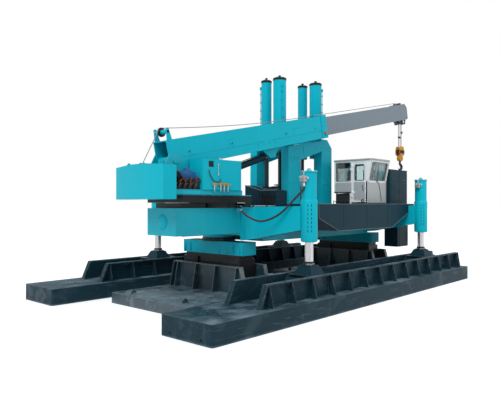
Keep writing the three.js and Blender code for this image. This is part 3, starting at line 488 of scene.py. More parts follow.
def scuffed(name, colour, rubbed, gloss, shine=0.12):
    """Dark deck paint, scuffed: broad smeared patches are rubbed lighter and smoother, fine long
    scratches cross them, and mud lies low down and on top. On the short boats the patches' light colour
    is also painted highlight."""
    material, tree, principled = shader(name)
    principled.inputs["Specular IOR Level"].default_value = shine
    link = tree.links.new
    coat = placed(tree, paint_group, Color=(*colour, 1), Drift=0.3)
    dusty = placed(tree, dust_group, Amount=0.85, Splash_Height=0.1)
    edges = placed(tree, edge_group, Amount=0.9)
    place = node(tree, "TexCoord")
    smear = node(tree, "Mapping", Scale=(0.9, 1.5, 1.2), Vector=place.outputs["Object"])
    patches = node(tree, "TexNoise", Scale=1.3, Detail=6.0, Roughness=0.58, Distortion=1.2,
                   Vector=smear.outputs[0])
    patch = node(tree, "MapRange", From_Min=0.52, From_Max=0.66, Value=patches.outputs["Fac"])
    lines = node(tree, "Mapping", Scale=(0.35, 9, 9), Rotation=(0.1, 0.05, 0.2),
                 Vector=place.outputs["Object"])
    scratches = node(tree, "TexNoise", Scale=4.0, Detail=3.0, Vector=lines.outputs[0])
    scratch = node(tree, "MapRange", From_Min=0.63, From_Max=0.7, Value=scratches.outputs["Fac"])
    worn = node(tree, "Math", scratch.outputs[0], 0.3, edges.outputs["Mask"], operation="MULTIPLY_ADD",
                use_clamp=True)
    # The light rubbed colour is wear, and on the short boats it is also painted highlight.
    rubbed_and_highlight_share = node(tree, "Math", patch.outputs[0], 0.55, operation="MULTIPLY")
    first = node(tree, "MixRGB", Color2=(*rubbed, 1), Fac=rubbed_and_highlight_share.outputs[0], Color1=coat.outputs["Color"])
    second = node(tree, "MixRGB", Color2=(0.2, 0.25, 0.29, 1), Fac=worn.outputs[0],
                  Color1=first.outputs["Color"])
    third = node(tree, "MixRGB", Color2=(0.19, 0.27, 0.32, 1), Fac=dusty.outputs["Mask"],
                 Color1=second.outputs["Color"])
    link(third.outputs["Color"], principled.inputs["Base Color"])
    rough = node(tree, "MapRange", To_Min=gloss, To_Max=gloss - 0.24, Value=patch.outputs[0])
    duller = node(tree, "Math", rough.outputs[0], dusty.outputs["Mask"], operation="ADD", use_clamp=True)
    link(duller.outputs[0], principled.inputs["Roughness"])
    skin = node(tree, "Bump", Strength=0.5, Distance=0.003, Height=coat.outputs["Height"])
    link(skin.outputs["Normal"], principled.inputs["Normal"])
    return material


boat_slate = scuffed("boat_slate", (0.008, 0.03, 0.044), (0.03, 0.065, 0.085), 0.5)
for side in ("near", "far"):
    low, high = corners_of(f"{side}_boat_hull")
    coated(boat_slate, f"{side}_boat_hull", f"{side}_boat_outer_wall", f"{side}_boat_inner_wall")
    middle = (low + high) / 2
    fittings = []
    seam_count, bead = 6, 0.007
    for seam in range(1, seam_count):
        x = low[0] + (high[0] - low[0]) * seam / seam_count
        for y in (low[1] + bead, high[1] - bead):
            fittings.append(bent_pipe([(x, y, low[2] + 0.02), (x, y, high[2] - 0.02)], bead, 8))
    for end, way in ((low[0], -1), (high[0], 1)):
        plugs = [(end, middle[1] + step, low[2] + 0.11) for step in (-0.5, 0.5)]
        fittings.append(hex_bolts([(x - way * 0.02, y, z) for x, y, z in plugs], (way, 0, 0), 0.06, 0.02))
    hatch_x = low[0] + 0.95
    hatch = bar((hatch_x - 0.27, middle[1] - 0.27, high[2]),
                (hatch_x + 0.27, middle[1] + 0.27, high[2] + 0.012))
    rim = circle_of((hatch_x, middle[1], high[2] + 0.012), 0.23, 12)
    fittings += [hatch, hex_bolts(rim, (0, 0, 1), 0.03, 0.014)]
    piece(f"{side}_boat_fittings", fittings, boat_slate, f"{side}_long_boat")

# Weld beads run up the sloping ends and along the top of each channel wall, on both its faces.
for side in ("near", "far"):
    for wall in ("outer", "inner"):
        low, high = corners_of(f"{side}_boat_{wall}_wall")
        hull_low, hull_high = corners_of(f"{side}_boat_hull")
        middle_y = (hull_low[1] + hull_high[1]) / 2
        inner = 1 if low[1] > middle_y else -1
        root = low[1] if inner > 0 else high[1]
        lean = 0.25
        weld = []
        for drop in (0.0, 0.014):
            y = root + inner * (0.15 if drop == 0 else 0.026)
            line = [(low[0] + 0.01, y, low[2] + 0.01), (low[0] + lean, y, high[2] - drop),
                    (high[0] - lean, y, high[2] - drop), (high[0] - 0.01, y, low[2] + 0.01)]
            weld.append(bent_pipe(np.vstack([np.linspace(a, b, 12, endpoint=False)
                                             for a, b in zip(line, line[1:])] + [line[-1:]]), 0.006, 6))
        piece(f"{side}_{wall}_wall_beads", weld, boat_slate, f"{side}_long_boat")


# ---- Trolleys ----
# Cast and welded carriers that roll in the boats' channels. Each has a bolted cover over its
# housing, axle caps on its flanks and a ball seat for the leg rod.
coated(navy, *[f"{side}_{end}_trolley" for side in ("near", "far") for end in ("left", "right")])
grease_black = enamel("greasy_iron", (0.01, 0.012, 0.013), gloss=0.3, worn=(0.12, 0.12, 0.12), dust=0.12)
for side in ("near", "far"):
    for end in ("left", "right"):
        low, high = corners_of(f"{side}_{end}_trolley")
        x, y = (low[:2] + high[:2]) / 2
        axle_z = low[2] + 0.15
        work = []
        for step in (-0.4, 0.4):
            for face, way in ((low[1], -1), (high[1], 1)):
                work.append(turned([(0.085, -0.002), (0.085, 0.012), (0.06, 0.02)],
                                   (x + step, face, axle_z + 0.05),
                                   (0, way, 0), 24))
                ring = circle_of((x + step, face + way * 0.012, axle_z + 0.05), 0.062, 6, second=(0, 0, 1))
                work.append(hex_bolts(ring, (0, way, 0), 0.018, 0.01))
        top = high[2]
        work.append(turned([(0.21, -0.03), (0.21, -0.002), (0.2, 0.0)], (x, y, top), (0, 0, 1), 40))
        work.append(hex_bolts(circle_of((x, y, top), 0.182, 10), (0, 0, 1), 0.032, 0.022))
        boot = [(0.162 - 0.012 * (k % 2) - 0.003 * k, 0.014 * k) for k in range(8)]
        work.append(turned(boot, (x, y, top), (0, 0, 1), 40))
        for step in (-0.5, 0.5):
            work.append(bar((x + step - 0.05, y - 0.3, 1.0), (x + step + 0.05, y + 0.3, 1.03)))
        piece(f"{side}_{end}_trolley_fittings", work, grease_black, f"{side}_lift")


# ---- Leg rods ----
# Ground and hard-chromed piston rods, 230 mm thick, each with a machined collar that sits in the
# trolley's ball seat.
for side in ("near", "far"):
    for end in ("left", "right"):
        low, high = corners_of(f"{side}_{end}_leg_rod")
        x, y = (low[:2] + high[:2]) / 2
        rod_radius, collar = 0.115, (high[0] - low[0]) / 2
        profile = [(collar - 0.008, 0), (collar, 0.008), (collar, 0.036), (rod_radius + 0.004, 0.07),
                   (rod_radius, 0.09),
                   (rod_radius, high[2] - low[2] - 0.005), (rod_radius - 0.005, high[2] - low[2])]
        rod = piece(f"{side}_{end}_polished_rod", turned(profile, (x, y, low[2]), sides=64), chrome,
                    f"{side}_lift", 30)
        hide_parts(f"{side}_{end}_leg_rod")


# ---- Legs ----
# A hydraulic sleeve on a box arm that sweeps into the platform's flank. The sleeve has slot welds
# in rows, a bolted gland and cap, a hose nozzle on top and a machined valve block.
def swept_arm(root_y, axis_y, x, half, sweep, lip, levels):
    """The arm: in plan its flanks run straight from the sleeve and turn through a quarter circle
    into the platform; in side view its upper and lower faces slope from the root to the tip."""
    way = 1 if axis_y > root_y else -1
    reach = abs(axis_y - root_y)
    turn = np.linspace(0, math.pi / 2, 20)
    bend_x = half + sweep - sweep * np.cos(turn)
    bend_y = sweep + lip - sweep * np.sin(turn)
    plan_x = np.concatenate([[half], bend_x, [half + sweep]])
    plan_y = np.concatenate([[reach], bend_y, [0]])
    plan = np.concatenate([np.stack([plan_x, plan_y], 1), np.stack([-plan_x[::-1], plan_y[::-1]], 1)])
    root_low, root_high, tip_low, tip_high = levels
    share = plan[:, 1] / (reach + 0.232)
    rings, edge = [], 0.006
    for inset, at, drop in ((edge, 0, 0), (0, 0, edge), (0, 1, -edge), (edge, 1, 0)):
        root, tip = (root_low, tip_low) if at == 0 else (root_high, tip_high)
        height = root + (tip - root) * share
        drawn = plan * np.array([1 - inset / half, 1])
        rings.append(np.stack([x + drawn[:, 0], root_y + way * drawn[:, 1], height + drop], 1))
    return lofted(rings)


silver = metal("cast_silver", (0.5, 0.51, 0.52), 0.45, 0.12, 18.0, (1, 1, 1))
dark_slots = enamel("slot_shadow", (0.004, 0.05, 0.07), gloss=0.6, chips=0.0, dust=0.1)
slab_low, slab_high = corners_of("platform")
for side, side_way in (("near", -1), ("far", 1)):
    for end in ("left", "right"):
        leg_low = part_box(f"{side}_{end}_leg")[0]
        rod_low, rod_high = corners_of(f"{side}_{end}_leg_rod")
        x, y = (rod_low[:2] + rod_high[:2]) / 2
        base = leg_low[2] if leg_low[2] > 1.86 else 1.88
        arm = swept_arm(side_way * 1.3003, y - side_way * 0.12, x, 0.25, 0.35, 0.025,
                        (1.85, 2.82, 2.24, 2.855))
        sleeve = turned([
            (0.1165, 0.0), (0.2, 0.0), (0.226, 0.012), (0.232, 0.03), (0.232, 1.11), (0.228, 1.12),
            (0.208, 1.15),
            (0.208, 1.875), (0.212, 1.88), (0.226, 1.885), (0.226, 1.915), (0.22, 1.92), (0.075, 1.921),
            (0.075, 1.95), (0.045, 1.955), (0.045, 2.0)], (x, y, base), sides=64)
        leg = piece(f"{side}_{end}_leg_shell", [arm, sleeve], teal, "platform", 32)
        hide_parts(f"{side}_{end}_leg")
        work = []
        work.append(hex_bolts(circle_of((x, y, base + 1.92), 0.197, 10, start=0.2), (0, 0, 1), 0.034,
                              0.022))
        work.append(turned([(0.05, 2.0), (0.062, 2.006), (0.062, 2.05), (0.05, 2.056), (0.03, 2.06),
                            (0.03, 2.075)],
                           (x, y, base - 0.078), sides=16))
        work.append(hex_bolts(circle_of((x, y, base), 0.16, 12), (0, 0, -1), 0.026, 0.016))
        piece(f"{side}_{end}_leg_bolts", work, zinc, "platform")
        slots = []
        slot_length, slot_width = 0.075, 0.022
        slot_outline = [(slot_width / 2 * math.cos(a),
                         slot_width / 2 * math.sin(a) + (slot_length / 2 - slot_width / 2)
                         * (1 if math.sin(a) >= 0 else -1))
                        for a in np.linspace(0.01, 2 * math.pi + 0.01, 16, endpoint=False)]
        for turn in (-62, -38, 38, 62):
            facing = math.radians(turn) + (math.pi * 1.5 if side_way < 0 else math.pi * 0.5)
            out = np.array((math.cos(facing), math.sin(facing), 0))
            for step in range(7):
                centre = np.array((x, y, base + 0.3 + 0.115 * step)) + 0.2295 * out
                slots.append(plate_cut(slot_outline, 0, 0.006, centre, np.cross((0, 0, 1), out), (0, 0, 1),
                                       0.002))
        piece(f"{side}_{end}_slot_welds", slots, dark_slots, "platform")
        valve_x, valve_z = x - 0.24, 3.59
        block = bar((valve_x - 0.085, y - 0.085, valve_z - 0.085),
                    (valve_x + 0.07, y + 0.085, valve_z + 0.085), 0.008)
        cap = turned([(0.04, 0.0), (0.04, 0.05), (0.032, 0.058)], (valve_x, y - 0.085, valve_z + 0.02),
                     (0, -1, 0), 20)
        spool = turned([(0.03, 0.0), (0.03, 0.06), (0.022, 0.07)],
                       (valve_x - 0.085, y + 0.03, valve_z + 0.03), (-1, 0, 0), 20)
        pipe = bent_hose([(valve_x, y, valve_z + 0.08), (valve_x, y, valve_z + 0.16),
                                  (valve_x + 0.05, y, valve_z + 0.2), (x - 0.12, y, base + 1.9)], 16, 0.014)
        bolts = hex_bolts([(valve_x + a, y - 0.085, valve_z + b) for a in (-0.06, 0.05)
                           for b in (-0.06, 0.07)],
                          (0, -1, 0), 0.018, 0.01)
        piece(f"{side}_{end}_valve_block", [block, cap, spool, pipe, bolts], silver, "platform")


# ---- Short boats and carriages ----
# Shallow pontoons across the machine, with a channel for the carriages' bogies. Their decks are
# scuffed by boots and mud, and their light rubbed patches are partly painted highlight. The carriages
# are teal beams on greased turntables.
# Short boat decks: their light rubbed colour is partly painted highlight on a glossy deck.
deck_slate = scuffed("short_boat_slate", (0.016, 0.046, 0.064), (0.13, 0.19, 0.23), 0.36, 0.7)
for end in ("left", "right"):
    coated(deck_slate, f"{end}_short_boat")
    coated(teal, f"{end}_carriage")
    coated(grease_black, f"{end}_bogies")
    low, high = corners_of(f"{end}_short_boat")
    middle = (low + high) / 2
    deck = low[2] + 0.3
    plates = []
    seam_count = 4
    for seam in range(1, seam_count):
        y = low[1] + (high[1] - low[1]) * seam / seam_count
        for x0, x1 in ((low[0] + 0.03, middle[0] - 0.72), (middle[0] + 0.72, high[0] - 0.03)):
            plates.append(bent_pipe([(x0, y, deck), (x1, y, deck)], 0.007, 8))
    for way in (-1, 1):
        for step in (-1.15, 1.15):
            x = middle[0] + way * 2.35
            y = middle[1] + step
            plates.append(plate_cut([(-0.1, 0), (0.1, 0), (0.1, 0.04), (0.05, 0.11), (-0.05, 0.11),
                                     (-0.1, 0.04)],
                                    -0.013, 0.013, (x, y, deck), (1, 0, 0), (0, 0, 1)))
            plates.append(turned([(0.03, -0.017), (0.03, 0.017)], (x, y, deck + 0.065), (0, 1, 0), 18))
    piece(f"{end}_short_boat_fittings", plates, deck_slate, f"{end}_short_boat")

    low, high = corners_of(f"{end}_carriage")
    middle = (low + high) / 2
    table_radius, table_low = 0.48, 1.78
    race = turned([(table_radius + 0.004, 0.055), (table_radius + 0.018, 0.06),
                   (table_radius + 0.018, 0.12),
                   (table_radius + 0.004, 0.125)], (middle[0], middle[1], table_low), sides=64)
    ring = gathered(race, turned([(0.52, 0), (0.53, 0.005), (0.53, 0.045), (0.52, 0.05)],
                                 (middle[0], middle[1], table_low), sides=64),
                    hex_bolts(circle_of((middle[0], middle[1], table_low + 0.05), 0.505, 30), (0, 0, 1),
                              0.026, 0.018))
    piece(f"{end}_turntable_ring", ring, grease_black, f"{end}_carriage")
    gussets = []
    for way in (-1, 1):
        for y in (-1.2, -0.95, 0.95, 1.2):
            face = middle[0] + way * 0.3
            gussets.append(plate_cut([(0, 0), (0.05, 0), (0.012, 0.3), (0, 0.3)], -0.01, 0.01,
                                     (face, middle[1] + y, 1.43), (way, 0, 0), (0, 0, 1), 0.002))
        for y in (-0.7, -0.35, 0.35, 0.7):
            gussets.append(hex_bolts([(middle[0] + way * 0.3, middle[1] + y, 1.46)], (way, 0, 0), 0.04,
                                     0.022))
    piece(f"{end}_carriage_gussets", gussets, teal, f"{end}_carriage")
    caps = []
    for y in (-0.9, 0.9):
        for way in (-1, 1):
            face = middle[0] + way * 0.35
            for dy in (-0.2, 0.2):
                caps.append(turned([(0.07, 0), (0.07, 0.012), (0.05, 0.018)],
                                   (face, middle[1] + y + dy, 0.72),
                                   (way, 0, 0), 24))
            caps.append(bar((face, middle[1] + y - 0.24, 0.95),
                            (face + way * 0.012, middle[1] + y + 0.24, 1.2)))
            caps.append(hex_bolts([(face + way * 0.012, middle[1] + y + dy, z) for dy in (-0.2, 0.2)
                                   for z in (0.99, 1.16)], (way, 0, 0), 0.026, 0.014))
    piece(f"{end}_bogie_fittings", caps, grease_black, f"{end}_carriage")


# ---- Platform ----
# A deep welded box hull. Its deck is chequer plate, its flanks are stiffened plate with weld
# seams, and pipes clamped along the deck edge carry oil to the legs.
def chequer_enamel(name, colour):
    """Enamel over chequer plate: on faces that look up, two families of short slanting bars stand
    out of the plate, set crosswise in a diagonal weave."""
    material = enamel(name, colour, worn=(0.03, 0.3, 0.36), chips=0.55, dust=0.34)
    tree = material.node_tree
    link = tree.links.new
    principled = tree.nodes["Principled BSDF"]
    place = node(tree, "TexCoord")
    bars = []
    for slant in (45, -45):
        lie = node(tree, "Mapping", Rotation=(0, 0, math.radians(slant)), Scale=(14, 38, 1),
                   Vector=place.outputs["Object"])
        lumps = node(tree, "TexVoronoi", Scale=1.0, Randomness=0.0, voronoi_dimensions="2D",
                     Vector=lie.outputs[0])
        raised = node(tree, "MapRange", From_Min=0.42, From_Max=0.3, Value=lumps.outputs["Distance"])
        bars.append(raised)
    both = node(tree, "Math", bars[0].outputs[0], bars[1].outputs[0], operation="MAXIMUM")
    surface = node(tree, "NewGeometry")
    facing = node(tree, "SeparateXYZ", surface.outputs["Normal"])
    top = node(tree, "Math", facing.outputs["Z"], 0.9, operation="GREATER_THAN")
    only = node(tree, "Math", both.outputs[0], top.outputs[0], operation="MULTIPLY")
    relief = node(tree, "Bump", Strength=0.6, Distance=0.004, Height=only.outputs[0],
                  Normal=principled.inputs["Normal"].links[0].from_socket)
    link(relief.outputs["Normal"], principled.inputs["Normal"])
    return material


deck_teal = chequer_enamel("deck_enamel", (0.008, 0.42, 0.53))
coated(deck_teal, "platform")
deck_z, flank = 2.8, 1.3
axis_x = (slab_low[0] + 6.49 + slab_high[0] - 4.1) / 2
beam_left = slab_low[0]
seams = []
for x in (beam_left + 1.3, axis_x - 2.35, axis_x + 2.2, axis_x + 3.05):
    low_z = 2.0 if x > axis_x - 4.1 else 2.07
    seams.append(bent_pipe([(x, -flank, low_z + 0.02), (x, -flank, deck_z - 0.02)], 0.006, 8))
    far_y = flank if x > axis_x - 4.1 else -0.11
    seams.append(bent_pipe([(x, far_y, low_z + 0.02), (x, far_y, deck_z - 0.02)], 0.006, 8))
for y in (-flank, flank):
    seams.append(bent_pipe([(axis_x - 3.09, y, 2.0), (axis_x + 3.09, y, 2.0)], 0.006, 8))
x = axis_x + 4.1
seams.append(bent_pipe([(x, -flank + 0.03, 2.35), (x, flank - 0.03, 2.35)], 0.006, 8))
piece("platform_weld_seams", seams, teal, "platform")

# Bolted manhole covers in the deck and in the beam's end.
covers = []
for x, y in ((axis_x - 3.3, 0.55), (axis_x + 3.4, 0.9), (axis_x + 3.4, -0.9), (axis_x - 3.0, -1.0)):
    covers.append(turned([(0.26, 0), (0.26, 0.012), (0.25, 0.018)], (x, y, deck_z), sides=40))
    covers.append(hex_bolts(circle_of((x, y, deck_z + 0.018), 0.22, 12), (0, 0, 1), 0.026, 0.014))
piece("deck_manholes", covers, teal, "platform")
end_work = [turned([(0.2, 0), (0.2, 0.014), (0.19, 0.02)], (beam_left, -0.75, 2.43), (-1, 0, 0), 40),
            hex_bolts(circle_of((beam_left - 0.02, -0.75, 2.43), 0.165, 12, (0, 1, 0), (0, 0, 1)),
                      (-1, 0, 0), 0.024, 0.013)]
piece("beam_end_cover", end_work, teal, "platform")

# Steel pipes in rubber-lined clamps run along the deck's near edge, from the crane to the pillars,
# with loose hoses over them.
pipes, clamps = [], []
pipe_gap, pipe_radius = 0.055, 0.018
for row in range(4):
    y = -1.24 + row * pipe_gap
    pipes.append(bent_pipe([(axis_x - 4.3, y, deck_z + 0.05), (axis_x - 2.9, y, deck_z + 0.05),
                            (axis_x - 1.4, y, deck_z + 0.05)], pipe_radius, 12))
for x in np.arange(axis_x - 4.1, axis_x - 1.4, 0.62):
    clamps.append(bar((x - 0.025, -1.275, deck_z), (x + 0.025, -1.04, deck_z + 0.08)))
    clamps.append(hex_bolts([(x, -1.255, deck_z + 0.08), (x, -1.06, deck_z + 0.08)], (0, 0, 1), 0.022,
                            0.012))
piece("deck_pipes", pipes, zinc, "platform")
piece("deck_pipe_clamps", clamps, black_iron, "platform")
rng = np.random.default_rng(7)
deck_hoses = []
for run in range(6):
    start = np.array((axis_x - 4.25 + 0.1 * run, -0.95 + 0.07 * run, deck_z + 0.05))
    finish_at = np.array((axis_x - 1.85, -0.5 + 0.12 * run, deck_z + 0.05))
    middle = [start + (finish_at - start) * share + (0, rng.uniform(-0.09, 0.09), rng.uniform(-0.02, 0.02))
              for share in (0.25, 0.5, 0.75)]
    deck_hoses.append(bent_hose([start, *middle, finish_at], 30, 0.02))
piece("deck_hoses", deck_hoses, rubber, "platform")
outlet_x, outlet_y, outlet_z = hose_route[0]
nut = turned([(0.045, 0), (0.05, 0.004), (0.05, 0.03), (0.044, 0.034)],
             (outlet_x, outlet_y + 0.034, outlet_z),
             (0, -1, 0), 6)
piece("hose_outlet_nut", nut, zinc, "platform")


# ---- Side trays ----
# Folded navy plate trays that carry the cab and the power pack. Beads of weld, left lighter by
# grinding, follow the edges of their flanks, and flat bars stiffen the faces.
coated(navy, "near_side_tray", "far_side_tray")
ground_weld = enamel("ground_weld", (0.1, 0.14, 0.17), gloss=0.45, chips=0.2, dust=0.1)
for side, way in (("near", -1), ("far", 1)):
    low, high = corners_of(f"{side}_side_tray")
    face = low[1] if way < 0 else high[1]
    corners = [(low[0], high[2]), (low[0], 2.5), (low[0] + 1.05, low[2]), (high[0] - 1.7, low[2]),
               (high[0], 2.77),
               (high[0], high[2])]
    line = np.vstack([np.linspace((x0, face, z0), (x1, face, z1), 10, endpoint=False)
                      for (x0, z0), (x1, z1) in zip(corners,
                                                    corners[1:])] + [[(corners[-1][0], face,
                                                                       corners[-1][1])]])
    line[:, 2] = np.minimum(line[:, 2], high[2] - 0.008)
    rail = bent_pipe([(low[0] + 0.01, face, high[2] - 0.01), (high[0] - 0.01, face, high[2] - 0.01)], 0.01,
                     8)
    piece(f"{side}_tray_edge_weld", gathered(bent_pipe(line, 0.011, 8), rail), ground_weld, "platform")
    ribs = [bar((x - 0.02, face, 2.2), (x + 0.02, face + way * 0.008, 2.86))
            for x in np.linspace(low[0] + 1.35, high[0] - 2.0, 3)]
    piece(f"{side}_tray_stiffeners", ribs, navy, "platform")


# ---- Press frame ----
# Four box pillars and a top frame of girders hold four press cylinders over the pile. The pillars
# stand on bolted feet; the cylinders hang on flanges and are fed by pipes down their sides.
coated(teal, "press_top_frame", "left_top_beam",
       *[f"{side}_{end}_pillar" for side in ("near", "far") for end in ("left", "right")])
for side, side_way in (("near", -1), ("far", 1)):
    for end, end_way in (("left", -1), ("right", 1)):
        low, high = corners_of(f"{side}_{end}_pillar")
        foot = [bar((low[0] - 0.001, low[1] - 0.07, low[2]),
                    (high[0] + 0.001, low[1] + 0.002, low[2] + 0.03)),
                bar((low[0] - 0.001, high[1] - 0.002, low[2]),
                    (high[0] + 0.001, high[1] + 0.07, low[2] + 0.03))]
        nuts = [(x, y, low[2] + 0.03) for x in np.linspace(low[0] + 0.07, high[0] - 0.07, 5)
                for y in (low[1] - 0.035, high[1] + 0.035)]
        seam = []
        for x in (low[0] + 0.004, high[0] - 0.004):
            y = low[1] if side_way < 0 else high[1]
            seam.append(bent_pipe([(x, y, low[2] + 0.05), (x, y, high[2] - 0.3)], 0.006, 8))
        collar = [bar((low[0] + 0.02, y0, 3.62), (high[0] - 0.02, y1, 3.65))
                  for y0, y1 in ((low[1] - 0.006, low[1] + 0.01), (high[1] - 0.01, high[1] + 0.006))]
        piece(f"{side}_{end}_pillar_foot", [*foot, *seam, *collar], teal, "platform")
        piece(f"{side}_{end}_pillar_nuts", hex_bolts(nuts, (0, 0, 1), 0.042, 0.028), zinc, "platform")

        low, high = corners_of(f"{side}_{end}_press_cylinder")
        x, y = (low[:2] + high[:2]) / 2
        radius = (high[0] - low[0]) / 2 - 0.026
        top = high[2] - 0.09
        rest = (5.15 if end_way < 0 else 5.23) + 0.0003
        bottom, gland = low[2], 0.0615
        barrel = turned([
            (gland, bottom), (radius - 0.01, bottom), (radius, bottom + 0.01), (radius, rest),
            (radius + 0.024, rest),
            (radius + 0.026, rest + 0.003), (radius + 0.026, rest + 0.056), (radius + 0.022, rest + 0.06),
            (radius, rest + 0.062), (radius, top - 0.095), (radius - 0.02, top - 0.09)], (x, y, 0),
                        sides=64)
        cap = turned([
            (radius - 0.02, top - 0.094), (radius + 0.01, top - 0.09), (radius + 0.013, top - 0.085),
            (radius + 0.013, top - 0.025), (radius + 0.01, top - 0.02), (radius - 0.02, top - 0.006),
            (radius - 0.035, top), (0.052, top), (0.05, top + 0.05), (0.042, top + 0.086),
            (0.035, top + 0.09)],
            (x, y, 0), sides=64)
        piece(f"{side}_{end}_barrel_cap", cap, grease_black, "platform", 28)
        cylinder = piece(f"{side}_{end}_press_barrel", barrel, teal, "platform", 28)
        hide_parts(f"{side}_{end}_press_cylinder")
        nuts = circle_of((x, y, top), radius - 0.06, 8, start=0.2)
        fixings = [hex_bolts(nuts, (0, 0, 1), 0.036, 0.024),
                   turned([(0.035, 0), (0.04, 0.006), (0.04, 0.03), (0.03, 0.036)], (x, y, top + 0.05),
                          sides=6)]
        piece(f"{side}_{end}_barrel_nuts", fixings, zinc, "platform")
        out = np.array((end_way * 0.5, side_way * 0.87, 0))
        centre = np.array((x, y, 0)) + out * (radius + 0.024)
        pipe = bent_hose([centre + (0, 0, top - 0.3), centre + (0, 0, top - 0.8),
                                  centre + (0, 0, rest + 0.5), centre + (0, 0, rest + 0.2)], 20, 0.014)
        ports = [bar(centre + (-0.03, -0.03, top - 0.32), centre + (0.03, 0.03, top - 0.22)),
                 bar(centre + (-0.03, -0.03, rest + 0.12), centre + (0.03, 0.03, rest + 0.22))]
        ties = [bar(centre + (-0.032, -0.02, z), centre + (0.032, 0.02, z + 0.035))
                for z in np.linspace(rest + 0.45, top - 0.5, 5)]
        piece(f"{side}_{end}_feed_pipe", [pipe, *ports, *ties], teal, "platform")

stiff = []
for way in (-1, 1):
    face = way * 0.86
    for x in (axis_x - 0.45, axis_x + 0.28):
        stiff.append(bar((x - 0.012, face, 4.68 + 0.24 * (x - axis_x + 0.45)),
                         (x + 0.012, face + way * 0.01, 4.9)))
    stiff.append(bent_pipe([(axis_x - 1.27, face, 4.43), (axis_x - 0.64, face, 4.43)], 0.007, 8))
    for x, z in ((axis_x - 1.15, 4.5), (axis_x - 0.95, 4.5), (axis_x - 0.75, 4.5)):
        stiff.append(hex_bolts([(x, face, z)], (0, way, 0), 0.034, 0.02))
piece("top_frame_fittings", stiff, teal, "platform")
frame_hoses = []
for run in range(5):
    y = -0.4 + 0.16 * run
    frame_hoses.append(bent_hose([
        (axis_x + 0.5, y, 4.79), (axis_x + 0.42, y + 0.02, 4.66),
        (axis_x + 0.2, y + 0.05, 4.58 - 0.02 * run),
        (axis_x - 0.2, y + 0.02, 4.6), (axis_x - 0.52, y, 4.7), (axis_x - 0.64, y, 4.8)], 30, 0.02))
piece("top_frame_hoses", frame_hoses, rubber, "platform")


# ---- Pile clamp ----
# A forged box that grips the pile, hung on four greased press rods. It is navy enamel; jaw blocks
# with serrated steel faces show in its bore.
def part_greased(name, colour, from_height):
    """The clamp's enamel below a height and dark greased steel above it, where the rods rise."""
    material, tree, principled = shader(name)
    link = tree.links.new
    coat = placed(tree, paint_group, Color=(*colour, 1), Drift=0.15)
    dusty = placed(tree, dust_group, Amount=0.25, Splash_Height=0.4)
    place = node(tree, "TexCoord")
    level = node(tree, "SeparateXYZ", place.outputs["Object"])
    rod = node(tree, "Math", level.outputs["Z"], from_height, operation="GREATER_THAN")
    over = node(tree, "MixRGB", Color2=(0.3, 0.29, 0.26, 1), Fac=dusty.outputs["Mask"],
                Color1=coat.outputs["Color"])
    chosen = node(tree, "MixRGB", Color2=(0.045, 0.046, 0.048, 1), Fac=rod.outputs[0],
                  Color1=over.outputs["Color"])
    link(chosen.outputs["Color"], principled.inputs["Base Color"])
    link(rod.outputs[0], principled.inputs["Metallic"])
    rough = node(tree, "MapRange", To_Min=0.42, To_Max=0.34, Value=rod.outputs[0])
    link(rough.outputs[0], principled.inputs["Roughness"])
    return material


coated(part_greased("clamp_and_rods", (0.022, 0.04, 0.058), 3.4605), "press_clamp")
jaws = []
for turn in range(4):
    a = turn * math.pi / 2 + math.pi / 4
    out = np.array((math.cos(a), math.sin(a), 0))
    centre = np.array((axis_x, 0, 2.42)) + out * 0.3
    jaws.append(plate_cut([(-0.12, 0), (0.12, 0), (0.12, 0.95), (-0.12, 0.95)], -0.03, 0.005, centre,
                          np.cross((0, 0, 1), -out), (0, 0, 1), 0.004))
    for tooth in range(11):
        line = centre - out * 0.004 + np.array((0, 0, 0.06 + 0.082 * tooth))
        side_way = np.cross((0, 0, 1), out)
        jaws.append(bent_pipe([line - side_way * 0.11, line + side_way * 0.11], 0.008, 6))
piece("clamp_jaws", jaws, silver, "press_clamp")
guides = []
for end_way in (-1, 1):
    for y in (-0.3, 0.3):
        x = axis_x + end_way * 1.055
        guides.append(turned([(0.15, 0), (0.15, 0.03), (0.12, 0.034), (0.12, 0.06), (0.066, 0.066)],
                             (x, y, 3.46), sides=40))
        guides.append(hex_bolts(circle_of((x, y, 3.49), 0.135, 10), (0, 0, 1), 0.024, 0.016))
piece("clamp_rod_collars", guides, navy, "press_clamp")


# ---- Cab ----
# A welded cab of white panels with grey skins pressed into their lower halves. Its rear floor is
# raised over the pipes, its nose leans out, and each window sits in a black rubber seal.
cab_left, cab_right = axis_x + 1.04, axis_x + 2.35
cab_nose, cab_step, cab_rear, cab_lean = -2.5, -1.85, -1.14, 0.15
cab_floor, cab_raised, cab_belt, cab_eaves, wall = 2.92, 3.3, 3.7, 4.45, 0.06


def rounded_ring(u, v, radius, arc=6):
    """A rectangle with round corners: at each corner a quarter circle, in even steps of angle."""
    ring = []
    for corner, (cu, cv) in enumerate(((u[1], v[1]), (u[0], v[1]), (u[0], v[0]), (u[1], v[0]))):
        angle = np.linspace(0, math.pi / 2, arc) + corner * math.pi / 2
        centre = np.array((cu - radius * (1 if corner in (0, 3) else -1),
                           cv - radius * (1 if corner in (0, 1) else -1)))
        ring.append(centre + radius * np.stack([np.cos(angle), np.sin(angle)], 1))
    return np.vstack(ring)


def spread_corners(corners, arc=6, reach=0.08):
    """A quadrilateral's outline with as many points as a rounded ring: at each corner they run up
    one side, through the corner and down the next, by shares of the reach."""
    outline, corners = [], np.asarray(corners, float)
    share = np.linspace(-1, 1, arc)
    share[np.argmin(np.abs(share))] = 0
    for before, here, after in zip(np.roll(corners, 1, 0), corners, np.roll(corners, -1, 0)):
        for s in share:
            other = before if s < 0 else after
            outline.append(here + unit(other - here) * abs(s) * reach if s else here)
    return np.array(outline)


def laid(flat, height, origin, along, up):
    """Points of a flat drawing, placed in the plane of two directions at a height over it."""
    return np.asarray(origin) + flat[:, :1] * along + flat[:, 1:] * up + height * np.cross(along, up)


